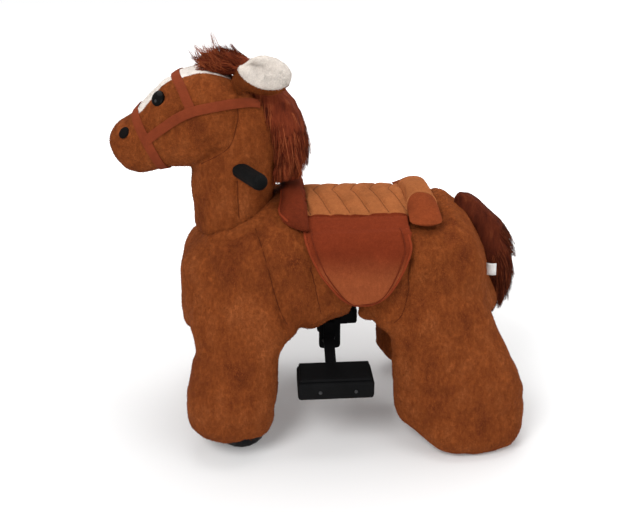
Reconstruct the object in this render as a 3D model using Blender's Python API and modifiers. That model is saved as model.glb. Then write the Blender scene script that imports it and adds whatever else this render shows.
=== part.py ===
"""Plush ride on horse: a stuffed horse over two hinged steel leg frames, with a steered head.

Metres, +Z up. The horse faces -X, and its left side, with stirrup and grip, is at -Y.
The hub beam carries the saddle. The front and rear leg frames hinge on it and open together
when a rider bounces, and the head, handlebar and front wheels steer together.
X is measured from the middle of the hub until the last step, which moves the finished toy
so that the middle of its outer box stands over the origin.
"""

import math

import bmesh
import bpy
from mathutils import Matrix, Vector

# Shared clearances
GAP = 0.0003  # between pieces that touch
RUN = 0.0005  # between pieces that turn or slide on each other
SOFT_ROOM = 0.0010  # round a steel piece that turns inside the stuffing
OVERRUN = 0.012  # how far a cutter runs past what it cuts

# Hub: two steel side plates, a beam along the back and a stem down to the stirrups
HUB_PLATE = 0.004
HUB_INSIDE = 0.056
HUB_STEM_LENGTH = 0.070
HUB_STEM_BOTTOM_Z = 0.222
HUB_CORNER_R = 0.012
HUB_END_R = 0.018
HUB_TOP_INSET = 0.010
HUB_THROAT = 0.008  # how much deeper the beam is at the stem
FRONT_PIVOT_REACH = 0.110
REAR_PIVOT_REACH = 0.130
PIVOT_Z = 0.425
PIN_R = 0.008
PIN_HEAD_R = 0.012
PIN_HEAD = 0.003
WEB_THICK, WEB_RISE, WEB_HEIGHT = 0.006, 0.012, 0.160
SPRING_WIRE_R = 0.0013
SPRING_TURNS = 3
SPRING_CLEAR = 0.0012
HUB_ROOM = 0.003  # from the hub's side to the stuffing

# Swing frames: a sleeve on each pivot pin, an arm, a cross bar and two leg tubes
SLEEVE_R = 0.013
ARM_R = 0.0125
CRANK_R = 0.025  # from the pivot to the sync link's pin
CRANK_PLATE = 0.005
CRANK_WIDTH = 0.016
CRANK_PIN_R = 0.004
CRANK_SIDE_Y = 0.0135
LINK_PLATE = 0.005
LINK_WIDTH = 0.016
LINK_FREE_PLAY = 0.0006  # the sync link's rear hole, over the pin
CROSS_HEIGHT = 0.025
CROSS_LENGTH = 0.036
CROSS_END_REACH = 0.018
FRONT_CROSS_Z = 0.260
REAR_CROSS_Z = 0.285
LEG_TUBE_R = 0.015
LEG_Y = 0.135
REAR_LEG_X = 0.245
BEHIND_BAR = 0.016
BEHIND_BAR_WIDTH = 0.040
BEHIND_BAR_RISE = 0.100

# Steering: column, pitman arm, tie rod and the two kingpins
STEER_X = -0.202
COLUMN_R = 0.014
HEAD_TUBE_R = 0.019
HEAD_TUBE_BOTTOM_Z = 0.340
HEAD_TUBE_TOP_Z = 0.430
STEER_ARM = 0.028
STEER_ARM_PLATE = 0.006
STEER_ARM_WIDTH = 0.016
STEER_ARM_RISE = 0.002
STEER_PIN_R = 0.004
TIE_PLATE = 0.005
TIE_WIDTH = 0.014
TIE_CLEAR = 0.0005
LINKAGE_ROOM = 0.003
KINGPIN_R = 0.009
HANDLE_Z = 0.580
HANDLE_R = 0.011
HANDLE_STRAIGHT = 0.045
STEM_BLOCK = 0.032
GRIP_R = 0.0155
GRIP_START = (0.017, 0.074, -0.002)  # from the column at the bar's height, for the right side
GRIP_TIP = (0.060, 0.149, -0.006)
GRIP_COVER = 0.070  # how much of the bar the grip covers

# Wheels
WHEEL_R = 0.050
TYRE_WIDTH = 0.026
TYRE_DEPTH = 0.014
TYRE_ROUND = 0.005
WHEEL_WEB = 0.008
HUB_BOSS_R = 0.012
HUB_BOSS_WIDTH = 0.028
AXLE_R = 0.004
FORK_BLADE = 0.003
FORK_BLADE_WIDTH = 0.024
FORK_SIDE_ROOM = 0.001
FORK_CROWN = 0.006
FORK_CROWN_ROOM = 0.0055
AXLE_END = 0.003
WELL_ROOM = 0.004
FORK_TAIL = 0.012

# Stuffed forms: where each box starts, how long, high and wide it is, and its rings in shares.
# A ring row holds the top or front point (x, z), the opposite point (x, z), the width,
# and for a form off the middle, how far out its centre lies.
FRONT_BODY_X, FRONT_BODY_Z = -0.313, 0.235
FRONT_BODY_LENGTH, FRONT_BODY_HEIGHT, FRONT_BODY_WIDTH = 0.337, 0.277, 0.310
FRONT_BODY_SHARES = (
    (0.000, 0.45, 0.000, 0.16, 0.20),
    (0.012, 0.56, 0.012, 0.055, 0.48),
    (0.045, 0.67, 0.045, 0.01, 0.66),
    (0.113, 0.77, 0.113, 0.00, 0.80),
    (0.246, 0.85, 0.246, 0.005, 0.92),
    (0.395, 0.92, 0.395, 0.03, 0.98),
    (0.543, 0.985, 0.543, 0.055, 1.00),
    (0.691, 1.00, 0.691, 0.07, 0.99),
    (0.855, 0.99, 0.855, 0.08, 0.97),
    (1.000, 0.98, 1.000, 0.10, 0.95),
)
REAR_BODY_X, REAR_BODY_Z = 0.047, 0.247
REAR_BODY_LENGTH, REAR_BODY_HEIGHT, REAR_BODY_WIDTH = 0.295, 0.262, 0.314
REAR_BODY_SHARES = (
    (0.000, 0.985, 0.000, 0.08, 0.94),
    (0.146, 0.995, 0.146, 0.05, 0.97),
    (0.315, 1.00, 0.315, 0.027, 0.99),
    (0.500, 0.995, 0.500, 0.01, 1.00),
    (0.627, 0.945, 0.650, 0.00, 0.96),
    (0.735, 0.835, 0.775, 0.00, 0.88),
    (0.817, 0.66, 0.875, 0.01, 0.76),
    (0.908, 0.43, 0.945, 0.04, 0.56),
    (0.985, 0.27, 0.990, 0.11, 0.25),
)
FRONT_LEG_X, FRONT_LEG_Z = -0.311, 0.034
FRONT_LEG_LENGTH, FRONT_LEG_HEIGHT, FRONT_LEG_WIDTH = 0.241, 0.326, 0.144
FRONT_LEG_SHARES = (
    (0.20, 0.000, 0.605, 0.000, 0.69, 1.00),
    (0.08, 0.025, 0.72, 0.025, 0.86, 1.00),
    (0.01, 0.095, 0.75, 0.095, 0.97, 1.00),
    (0.00, 0.21, 0.76, 0.21, 1.00, 1.00),
    (0.012, 0.32, 0.775, 0.32, 0.97, 1.00),
    (0.045, 0.41, 0.78, 0.41, 0.92, 0.99),
    (0.10, 0.51, 0.79, 0.51, 0.85, 0.975),
    (0.13, 0.585, 0.805, 0.585, 0.82, 0.95),
    (0.115, 0.66, 0.86, 0.66, 0.83, 0.905),
    (0.08, 0.755, 0.96, 0.755, 0.86, 0.845),
    (0.085, 0.875, 0.98, 0.875, 0.86, 0.78),
    (0.15, 1.000, 0.875, 1.000, 0.70, 0.725),
)
REAR_LEG_BOX_X, REAR_LEG_Z = 0.070, 0.010
REAR_LEG_LENGTH, REAR_LEG_HEIGHT, REAR_LEG_WIDTH = 0.3145, 0.340, 0.148
REAR_LEG_SHARES = (
    (0.335, 0.000, 0.865, 0.000, 0.68, 1.00),
    (0.23, 0.025, 0.95, 0.025, 0.84, 1.00),
    (0.17, 0.09, 0.99, 0.09, 0.95, 1.00),
    (0.147, 0.20, 1.00, 0.20, 1.00, 1.00),
    (0.135, 0.345, 0.97, 0.345, 0.975, 1.00),
    (0.128, 0.46, 0.92, 0.46, 0.92, 1.00),
    (0.124, 0.58, 0.85, 0.58, 0.865, 0.97),
    (0.115, 0.69, 0.795, 0.69, 0.85, 0.92),
    (0.06, 0.78, 0.757, 0.78, 0.86, 0.86),
    (0.00, 0.88, 0.715, 0.88, 0.86, 0.80),
    (0.065, 1.000, 0.635, 1.000, 0.74, 0.74),
)
NECK_BASE_R = 0.080
NECK_Z, NECK_HEIGHT = 0.437, 0.283
NECK_BASE_SHARE = 0.889  # the round base's share of the neck's length
NECK_SHARES = (
    (0.00, 0.000, NECK_BASE_SHARE, 0.000, 1.00),
    (0.00, 0.152, NECK_BASE_SHARE, 0.152, 1.00),
    (0.00, 0.276, NECK_BASE_SHARE, 0.276, 1.00),
    (0.01, 0.399, 0.955, 0.399, 0.975),
    (0.02, 0.576, 0.99, 0.576, 0.95),
    (0.04, 0.753, 0.955, 0.753, 0.93),
    (0.12, 0.894, 0.87, 0.894, 0.80),
    (0.24, 0.965, 0.74, 0.965, 0.56),
    (0.36, 1.000, 0.62, 1.000, 0.28),
)
NECK_WELL_ROOM = 0.0015
NECK_WELL_FLOOR = 0.002
HEAD_X, HEAD_Z = -0.4285, 0.554
HEAD_LENGTH, HEAD_HEIGHT, HEAD_WIDTH = 0.2905, 0.204, 0.160
HEAD_SHARES = (
    (0.000, 0.363, 0.005, 0.245, 0.15),
    (0.022, 0.436, 0.029, 0.142, 0.45),
    (0.074, 0.510, 0.091, 0.040, 0.625),
    (0.160, 0.578, 0.184, 0.000, 0.70),
    (0.253, 0.716, 0.298, 0.030, 0.725),
    (0.356, 0.858, 0.408, 0.059, 0.80),
    (0.470, 0.951, 0.518, 0.064, 0.91),
    (0.597, 1.000, 0.632, 0.103, 1.00),
    (0.735, 0.949, 0.752, 0.225, 1.00),
    (0.855, 0.838, 0.862, 0.373, 0.875),
    (0.959, 0.740, 0.959, 0.520, 0.60),
    (1.000, 0.667, 1.000, 0.593, 0.225),
)
MANE_X, MANE_Z = -0.200, 0.531
MANE_LENGTH, MANE_HEIGHT, MANE_WIDTH = 0.148, 0.221, 0.120
MANE_SHARES = (
    (0.676, 0.000, 0.878, 0.000, 0.37),
    (0.554, 0.063, 0.99, 0.063, 0.75),
    (0.507, 0.20, 1.00, 0.20, 0.93),
    (0.473, 0.357, 0.997, 0.357, 1.00),
    (0.44, 0.516, 0.986, 0.516, 1.00),
    (0.37, 0.65, 0.92, 0.65, 0.93),
    (0.30, 0.765, 0.797, 0.765, 0.83),
    (0.135, 0.878, 0.62, 0.878, 0.67),
    (0.00, 0.968, 0.44, 0.968, 0.47),
    (0.034, 1.000, 0.34, 1.000, 0.20),
)
FORELOCK_X, FORELOCK_Z = -0.254, 0.745
FORELOCK_LENGTH, FORELOCK_HEIGHT, FORELOCK_WIDTH = 0.102, 0.058, 0.064
FORELOCK_SHARES = (
    (0.02, 0.000, 0.90, 0.000, 0.94),
    (0.00, 0.345, 1.00, 0.345, 1.00),
    (0.08, 0.69, 0.92, 0.69, 0.81),
    (0.167, 0.914, 0.63, 0.914, 0.44),
    (0.235, 1.000, 0.38, 1.000, 0.16),
)
EAR_X, EAR_Z = -0.198, 0.700
EAR_LENGTH, EAR_HEIGHT, EAR_WIDTH = 0.1105, 0.087, 0.024
EAR_BASE_Y, EAR_SPREAD = 0.062, 0.023
FAR_EAR_DROP, FAR_EAR_OUT, FAR_EAR_SPREAD = 0.033, 0.014, 0.034  # the right ear hangs lower than the left
EAR_SHARES = (
    (0.020, 0.400, 0.150, 0.060, 0.50, -0.60),
    (0.090, 0.600, 0.208, 0.253, 0.70, -0.10),
    (0.180, 0.790, 0.326, 0.241, 0.92, 0.20),
    (0.371, 0.954, 0.525, 0.195, 1.00, 0.45),
    (0.579, 1.000, 0.697, 0.184, 1.00, 0.65),
    (0.778, 0.943, 0.860, 0.276, 0.92, 0.85),
    (0.923, 0.816, 0.968, 0.414, 0.75, 0.95),
    (1.000, 0.667, 1.000, 0.575, 0.33, 1.00),
)
TAIL_X, TAIL_Z = 0.254, 0.215
TAIL_LENGTH, TAIL_HEIGHT, TAIL_WIDTH = 0.128, 0.282, 0.096
TAIL_SHARES = (
    (0.047, 1.000, 0.000, 0.954, 0.21),
    (0.219, 0.989, 0.140, 0.897, 0.42),
    (0.438, 0.915, 0.266, 0.798, 0.67),
    (0.680, 0.784, 0.398, 0.674, 0.875),
    (0.875, 0.638, 0.500, 0.532, 0.98),
    (0.984, 0.461, 0.578, 0.390, 1.00),
    (1.000, 0.300, 0.625, 0.248, 0.94),
    (0.969, 0.167, 0.672, 0.124, 0.75),
    (0.906, 0.071, 0.734, 0.046, 0.46),
    (0.860, 0.010, 0.797, 0.000, 0.125),
)

# Face and bridle, placed on the head's rings: ring number and angle from the top
EYE_LENGTH, EYE_HEIGHT, EYE_DEPTH = 0.026, 0.031, 0.014
EYE_RING, EYE_ANGLE = 5.05, math.radians(44)
EYE_SINK_SHARE = 0.15
STRAP_WIDTH = 0.019
STRAP_THICK = 0.0035  # before the head is cut out of it
STRAP_LIFT = -0.0012
NOSEBAND_TOP_RING, NOSEBAND_LOW_RING = 3.25, 4.15
BROW_TOP_RING, BROW_LOW_RING = 5.65, 6.55
CHEEK_ROUTE = (
    (3.75, math.radians(90)),
    (5.0, math.radians(84)),
    (6.6, math.radians(78)),
    (8.0, math.radians(70)),
    (9.05, math.radians(60)),
)
BROW_END_ANGLE = math.radians(66)

# Saddle
BOARD_BOTTOM_Z = 0.478
BOARD_THICK = 0.012
BOARD_FRONT_X, BOARD_BACK_X = -0.065, 0.185
BOARD_WIDTH = 0.140
CUSHION_FRONT_X, CUSHION_BACK_X = -0.0681, 0.1282
CUSHION_WIDTH = 0.200
CUSHION_CROWN = 0.0245
CUSHION_SIDE_RISE = 0.0065
CUSHION_SIDE_DROP = 0.006
CUSHION_CHANNEL = 0.0028
CUSHION_CHANNEL_PITCH = 0.036
CUSHION_SKEW_SHARE = 0.55
CUSHION_COLUMNS = 24
CUSHION_ROW_SHARES = (-1.0, -0.93, -0.84, -0.71, -0.48, -0.24, 0.0, 0.24, 0.48, 0.71, 0.84, 0.93, 1.0)
CUSHION_FRONT_DROP, CUSHION_BACK_DROP = 0.0010, 0.0075
FLAP_THICK = 0.007
FLAP_TOP_Z, FLAP_DROP, FLAP_OUT = 0.4965, 0.1665, 0.0575
FLAP_FRONT_X, FLAP_LENGTH = -0.079, 0.210
FLAP_SHARES = (  # drop, out from the cushion's side, front edge, back edge
    (0.00, 0.00, 0.055, 0.96),
    (0.07, 0.40, 0.055, 0.965),
    (0.19, 0.70, 0.06, 0.98),
    (0.33, 0.90, 0.09, 0.99),
    (0.48, 0.985, 0.145, 0.955),
    (0.62, 1.00, 0.205, 0.91),
    (0.76, 0.99, 0.285, 0.855),
    (0.87, 0.975, 0.355, 0.795),
    (0.95, 0.96, 0.43, 0.72),
    (1.00, 0.945, 0.52, 0.62),
)
FLAP_COLUMNS = 6
POMMEL_LIFT, POMMEL_THICK = 0.0045, 0.012
POMMEL_BACK_RING, POMMEL_BACK_TUCK, POMMEL_BACK_SETTLE = 7.21, 0.0026, 0.0033
POMMEL_ANGLE = math.radians(58)
POMMEL_SHARES = (  # angle, how many rings the front edge reaches forward
    (0.00, 0.78),
    (0.30, 0.82),
    (0.55, 0.92),
    (0.75, 0.80),
    (0.90, 0.50),
    (1.00, 0.22),
)
POMMEL_COLUMNS = 5
CANTLE_X, CANTLE_Z = 0.1645, 0.5145
CANTLE_HALF_LENGTH, CANTLE_HALF_HEIGHT, CANTLE_HALF_WIDTH = 0.0360, 0.0225, 0.142
CANTLE_SAG = 0.024
CANTLE_SHARES = (  # half width, sag, section
    (-1.00, 1.00, 0.55), (-0.975, 0.93, 0.85), (-0.90, 0.78, 0.99), (-0.62, 0.36, 1.0),
    (-0.30, 0.08, 0.99), (0.0, 0.0, 0.98), (0.30, 0.08, 0.99), (0.62, 0.36, 1.0),
    (0.90, 0.78, 0.99), (0.975, 0.93, 0.85), (1.00, 1.00, 0.55),
)
SADDLE_ROOM_FRONT = 0.010
SADDLE_ROOM_BACK = 0.010
SADDLE_ROOM_UNDER = 0.0065
SADDLE_ROOM_HALF_WIDTH = 0.145
CANTLE_ROOM = 0.0108

# Stirrups
BRACKET_PLATE = 0.004
BRACKET_LENGTH, BRACKET_HEIGHT = 0.045, 0.068
BRACKET_FRONT_X, BRACKET_BOTTOM_Z = -0.0345, 0.167
BRACKET_CORNER_R = 0.008
STIRRUP_ARM_WIDTH, STIRRUP_ARM_THICK = 0.022, 0.008
STIRRUP_ARM_X = -0.0148
STIRRUP_ARM_TOP_Z, STIRRUP_ARM_BEND_Z, STIRRUP_ARM_END_Z = 0.232, 0.205, 0.164
PEDAL_FRONT_X, PEDAL_LENGTH = -0.086, 0.1505
PEDAL_BOTTOM_Z, PEDAL_HEIGHT = 0.139, 0.038
PEDAL_INNER_Y, PEDAL_DEPTH = 0.115, 0.075
PEDAL_CORNER = 0.006
TREAD_THICK, TREAD_INSET = 0.0067, 0.004
TREAD_BEVEL = 0.003

# How finely round things are cut
BODY_AROUND = 24
FORM_AROUND = 18
SMALL_AROUND = 12
ROUND_SIDES = 14
WELL_SIDES = 20
WHEEL_SIDES = 20
ARC_STEPS = 5
SECTION_POWER_SHARE = 0.78  # under 1 squares a section off

# Colours, as a photo shows them
CINNAMON = (0.36, 0.14, 0.040)
MANE_BROWN = (0.17, 0.035, 0.014)
RUST = (0.30, 0.070, 0.024)
TAN = (0.42, 0.19, 0.075)
STRAP_BROWN = (0.27, 0.075, 0.030)
BLACK = (0.012, 0.012, 0.013)
STEEL_BLACK = (0.025, 0.025, 0.027)
STEEL_GREY = (0.35, 0.35, 0.36)
WOOD = (0.45, 0.30, 0.16)

for leftover in list(bpy.data.objects):
    bpy.data.objects.remove(leftover)

toy = bpy.data.collections.new("plush_ride_on_horse")
cutters = bpy.data.collections.new("cutters")
bpy.context.scene.collection.children.link(toy)
bpy.context.scene.collection.children.link(cutters)


def material(name, colour, roughness, metallic=0.0):
    made = bpy.data.materials.new(name)
    made.use_nodes = True
    shader = made.node_tree.nodes["Principled BSDF"]
    shader.inputs["Base Color"].default_value = (*colour, 1.0)
    shader.inputs["Roughness"].default_value = roughness
    shader.inputs["Metallic"].default_value = metallic
    return made


FINISHES = {
    "plush": (CINNAMON, 0.95, 0.0),
    "hair": (MANE_BROWN, 0.9, 0.0),
    "flap": (RUST, 0.9, 0.0),
    "seat": (TAN, 0.9, 0.0),
    "strap": (STRAP_BROWN, 0.7, 0.0),
    "rubber": (BLACK, 0.6, 0.0),
    "gloss": (BLACK, 0.1, 0.0),
    "frame": (STEEL_BLACK, 0.45, 0.6),
    "steel": (STEEL_GREY, 0.35, 1.0),
    "board": (WOOD, 0.8, 0.0),
}


def empty(name, place, parent=None):
    made = bpy.data.objects.new(name, None)
    cutters.objects.link(made)
    made.parent = parent
    made.location = Vector(place) - (Vector(parent["at"]) if parent else Vector())
    made["at"] = tuple(place)
    return made


ORIGIN = empty("toy_origin", (0, 0, 0))
HUB = empty("hub", (0, 0, 0), ORIGIN)
FRONT = empty("front_frame_hinge", (-FRONT_PIVOT_REACH, 0, PIVOT_Z), ORIGIN)
REAR = empty("rear_frame_hinge", (REAR_PIVOT_REACH, 0, PIVOT_Z), ORIGIN)
STEER = empty("steering_axis", (STEER_X, 0, HEAD_TUBE_BOTTOM_Z), FRONT)
LINK = empty("sync_link_pin", (-FRONT_PIVOT_REACH, 0, PIVOT_Z + CRANK_R), FRONT)
TIE = empty("tie_rod_pin", (STEER_X + STEER_ARM, 0, FRONT_CROSS_Z + CROSS_HEIGHT), STEER)
SIDES = (("left", -1), ("right", 1))


def home(item, body, name=None, finish=None):
    """Hands a mesh modelled in world places to its body, with its origin on the body's joint."""
    at = Vector(body["at"])
    item.data.transform(Matrix.Translation(-at) @ item.matrix_basis)
    item.matrix_basis = Matrix.Identity(4)
    item.parent = body
    item.location = Vector()
    if name:
        item.name = name
        item.data.name = name
        item.data.materials.clear()
        item.data.materials.append(material(name, *FINISHES[finish]))
        toy.objects.link(item)
        item.data.shade_smooth()
        item.data.set_sharp_from_angle(angle=math.radians(35))
    else:
        cutters.objects.link(item)
        item.hide_render = True
        item.display_type = "WIRE"
    return item


def loose(name, mesh):
    return bpy.data.objects.new(name, mesh)


def from_bmesh(name, work):
    mesh = bpy.data.meshes.new(name)
    work.normal_update()
    bmesh.ops.recalc_face_normals(work, faces=work.faces)
    work.to_mesh(mesh)
    work.free()
    return loose(name, mesh)


def block(low, high, bevel=0.0, name="block"):
    work = bmesh.new()
    low, high = Vector(low), Vector(high)
    size = high - low
    bmesh.ops.create_cube(work, size=1, matrix=Matrix.Translation((low + high) / 2) @ Matrix.Diagonal((*size, 1)))
    if bevel:
        bmesh.ops.bevel(work, geom=work.edges[:], offset=bevel, segments=2, profile=0.5, affect="EDGES")
    return from_bmesh(name, work)


def rod(start, end, radius, sides=ROUND_SIDES, name="rod", end_radius=None):
    start, end = Vector(start), Vector(end)
    along = end - start
    turn = along.to_track_quat("Z", "Y").to_matrix().to_4x4()
    work = bmesh.new()
    bmesh.ops.create_cone(
        work,
        cap_ends=True,
        segments=sides,
        radius1=radius,
        radius2=radius if end_radius is None else end_radius,
        depth=along.length,
        matrix=Matrix.Translation((start + end) / 2) @ turn,
    )
    return from_bmesh(name, work)


def ball(centre, size, turn=Matrix.Identity(4), name="ball", around=12):
    work = bmesh.new()
    bmesh.ops.create_uvsphere(work, u_segments=around, v_segments=around // 2 + 2, radius=0.5)
    work.transform(Matrix.Translation(centre) @ turn @ Matrix.Diagonal((*size, 1)))
    return from_bmesh(name, work)


def arc(centre, radius, start, end, steps=5):
    return [
        (
            centre[0] + radius * math.cos(start + (end - start) * i / steps),
            centre[1] + radius * math.sin(start + (end - start) * i / steps),
        )
        for i in range(steps + 1)
    ]


def outline(points, near, far, along="Y", name="outline"):
    """A flat outline with a thickness from near to far along one axis."""
    curve = bpy.data.curves.new(name, "CURVE")
    curve.dimensions = "2D"
    curve.fill_mode = "BOTH"
    curve.extrude = (far - near) / 2
    line = curve.splines.new("POLY")
    line.points.add(len(points) - 1)
    for point, (u, v) in zip(line.points, points):
        point.co = (u, v, 0, 1)
    line.use_cyclic_u = True
    flat = bpy.data.objects.new(name, curve)
    cutters.objects.link(flat)
    bpy.context.view_layer.update()
    mesh = bpy.data.meshes.new_from_object(flat.evaluated_get(bpy.context.evaluated_depsgraph_get()))
    bpy.data.objects.remove(flat)
    turns = {
        "Y": Matrix(((1, 0, 0, 0), (0, 0, 1, 0), (0, 1, 0, 0), (0, 0, 0, 1))),
        "X": Matrix(((0, 0, 1, 0), (1, 0, 0, 0), (0, 1, 0, 0), (0, 0, 0, 1))),
        "Z": Matrix.Identity(4),
    }
    work = bmesh.new()
    work.from_mesh(mesh)
    bpy.data.meshes.remove(mesh)
    bmesh.ops.remove_doubles(work, verts=work.verts, dist=GAP / 10)
    work.transform(turns[along])
    shift = {"X": Vector((1, 0, 0)), "Y": Vector((0, 1, 0)), "Z": Vector((0, 0, 1))}[along]
    work.transform(Matrix.Translation(shift * (near + far) / 2))
    return from_bmesh(name, work)


def turned(profile, centre, axis, sides, name="turned"):
    """A closed profile of (radius, place along the axis), turned with a Screw modifier."""
    mesh = bpy.data.meshes.new(name)
    count = len(profile)
    ends = 1 if profile[0][0] == profile[-1][0] == 0 else 0  # an axle's profile stays open on its axis
    mesh.from_pydata(
        [(radius, 0, along) for radius, along in profile],
        [(i, (i + 1) % count) for i in range(count - ends)],
        [],
    )
    item = loose(name, mesh)
    item.matrix_basis = Matrix.Translation(centre) @ Vector(axis).to_track_quat("Z", "Y").to_matrix().to_4x4()
    screw = item.modifiers.new("turn", "SCREW")
    screw.steps = screw.render_steps = sides
    screw.use_merge_vertices = True
    screw.merge_threshold = GAP / 10
    return item


def settled(item):
    """The item with its modifiers applied, as a plain mesh."""
    cutters.objects.link(item)
    bpy.context.view_layer.update()
    mesh = bpy.data.meshes.new_from_object(item.evaluated_get(bpy.context.evaluated_depsgraph_get()))
    fresh = loose(item.name, mesh)
    fresh.matrix_basis = item.matrix_basis
    bpy.data.objects.remove(item)
    work = bmesh.new()
    work.from_mesh(mesh)
    bmesh.ops.remove_doubles(work, verts=work.verts, dist=GAP / 10)
    bmesh.ops.recalc_face_normals(work, faces=work.faces)
    work.to_mesh(mesh)
    work.free()
    return fresh


def boolean(target, tool, body, operation="DIFFERENCE"):
    home(tool, body)
    step = target.modifiers.new(operation.lower(), "BOOLEAN")
    step.operation = operation
    step.object = tool
    step.solver = "EXACT"
    return target


def cut(target, body, *tools):
    for tool in tools:
        boolean(target, tool, body)
    return target


def fuse(target, body, *tools):
    for tool in tools:
        boolean(target, tool, body, "UNION")
    return target


def between(rows, place):
    """The row at a place that need not be whole, on a smooth curve through the rows."""
    last = len(rows) - 1
    place = min(max(place, 0), last)
    i = min(int(place), last - 1)
    t = place - i
    four = [rows[min(max(k, 0), last)] for k in (i - 1, i, i + 1, i + 2)]
    return [
        0.5 * (2 * b + (c - a) * t + (2 * a - 5 * b + 4 * c - d) * t**2 + (3 * b - a - 3 * c + d) * t**3)
        for a, b, c, d in zip(*four)
    ]


class Form:
    """A stuffed form: rings through a box, each between two points in the plane of the middle."""

    def __init__(self, x, z, length, height, width, rows, centre_y=0.0, spread=0.0, power=SECTION_POWER_SHARE):
        self.rows = [
            (x + a * length, z + b * height, x + c * length, z + d * height, width * w / 2,
             centre_y + spread * (more[0] if more else 0))
            for a, b, c, d, w, *more in rows
        ]
        self.power = power

    def point(self, place, angle, lift=0.0):
        """On the surface at a ring and an angle from the first point, lifted off it."""
        ax, az, bx, bz, half, y = between(self.rows, place)
        middle = Vector(((ax + bx) / 2, y, (az + bz) / 2))
        radius = Vector(((ax - bx) / 2, 0, (az - bz) / 2))
        long = radius.length + lift
        c, s = math.cos(angle), math.sin(angle)
        c = math.copysign(abs(c) ** self.power, c)
        s = math.copysign(abs(s) ** self.power, s)
        return middle + radius.normalized() * long * c + Vector((0, (half + lift) * s, 0))

    def solid(self, around, steps, grow=0.0, name="form"):
        work = bmesh.new()
        count = (len(self.rows) - 1) * steps
        rings = []
        for i in range(count + 1):
            ring = [
                work.verts.new(self.point(i / steps, 2 * math.pi * k / around, grow))
                for k in range(around)
            ]
            rings.append(ring)
        if grow:
            for ring, next_ring in ((rings[0], rings[1]), (rings[-1], rings[-2])):
                outward = (middle_of(ring) - middle_of(next_ring)).normalized() * grow
                for vert in ring:
                    vert.co += outward
        for low, high in zip(rings, rings[1:]):
            skirt(work, low, high)
        for ring in (rings[0], rings[-1]):
            centre = work.verts.new(middle_of(ring))
            for k in range(around):
                work.faces.new((ring[k], ring[(k + 1) % around], centre))
        return from_bmesh(name, work)


def skirt(work, low, high):
    """Triangles between two rings, split the same way for a form and for its grown copy."""
    around = len(low)
    for k in range(around):
        after = (k + 1) % around
        work.faces.new((low[k], low[after], high[after]))
        work.faces.new((low[k], high[after], high[k]))


def middle_of(ring):
    return sum((vert.co for vert in ring), Vector()) / len(ring)


def padded(columns, rows, top, bottom, name="padded"):
    """A closed pad from a grid: top and bottom give a place for column and row shares."""
    work = bmesh.new()
    layers = []
    for layer in (top, bottom):
        layers.append([[work.verts.new(layer(c, r)) for r in rows] for c in columns])
    upper, lower = layers
    for i in range(len(columns) - 1):
        for j in range(len(rows) - 1):
            for sheet in layers:
                work.faces.new((sheet[i][j], sheet[i + 1][j], sheet[i + 1][j + 1], sheet[i][j + 1]))
    last_c, last_r = len(columns) - 1, len(rows) - 1
    for i in range(last_c):
        for j in (0, last_r):
            work.faces.new((upper[i][j], upper[i + 1][j], lower[i + 1][j], lower[i][j]))
    for j in range(last_r):
        for i in (0, last_c):
            work.faces.new((upper[i][j], upper[i][j + 1], lower[i][j + 1], lower[i][j]))
    return from_bmesh(name, work)


def shares(count):
    return [i / count for i in range(count + 1)]


# Places that several pieces share
HUB_HALF = HUB_INSIDE / 2
HUB_OUT = HUB_HALF + HUB_PLATE
HUB_TOP_Z = BOARD_BOTTOM_Z - GAP
FRONT_PIVOT_X = -FRONT_PIVOT_REACH
ARM_LEVEL_Z = FRONT_CROSS_Z + CROSS_HEIGHT + STEER_ARM_RISE
TIE_Z = ARM_LEVEL_Z + STEER_ARM_PLATE + TIE_CLEAR
FORK_HALF = HUB_BOSS_WIDTH / 2 + FORK_SIDE_ROOM
CROWN_Z = 2 * WHEEL_R + FORK_CROWN_ROOM
WELL_R = math.hypot(WHEEL_R, TYRE_WIDTH / 2) + WELL_ROOM
CRANK_Y = CRANK_SIDE_Y + CRANK_PLATE


def hub_plate_outline():
    low = PIVOT_Z - HUB_END_R - HUB_THROAT
    half = HUB_STEM_LENGTH / 2
    quarter = math.pi / 2
    points = [(FRONT_PIVOT_X + HUB_TOP_INSET, HUB_TOP_Z)]
    points += arc((FRONT_PIVOT_X, PIVOT_Z), HUB_END_R, quarter, 3 * quarter, ARC_STEPS)
    points += [(-half, low)]
    points += arc((-half + HUB_CORNER_R, HUB_STEM_BOTTOM_Z + HUB_CORNER_R), HUB_CORNER_R, 2 * quarter, 3 * quarter)
    points += arc((half - HUB_CORNER_R, HUB_STEM_BOTTOM_Z + HUB_CORNER_R), HUB_CORNER_R, 3 * quarter, 4 * quarter)
    points += [(half, low)]
    points += arc((REAR_PIVOT_REACH, PIVOT_Z), HUB_END_R, -quarter, quarter, ARC_STEPS)
    points += [(REAR_PIVOT_REACH - HUB_TOP_INSET, HUB_TOP_Z)]
    return points


def pivot_places():
    return ((FRONT_PIVOT_X, PIVOT_Z), (REAR_PIVOT_REACH, PIVOT_Z))


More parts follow.
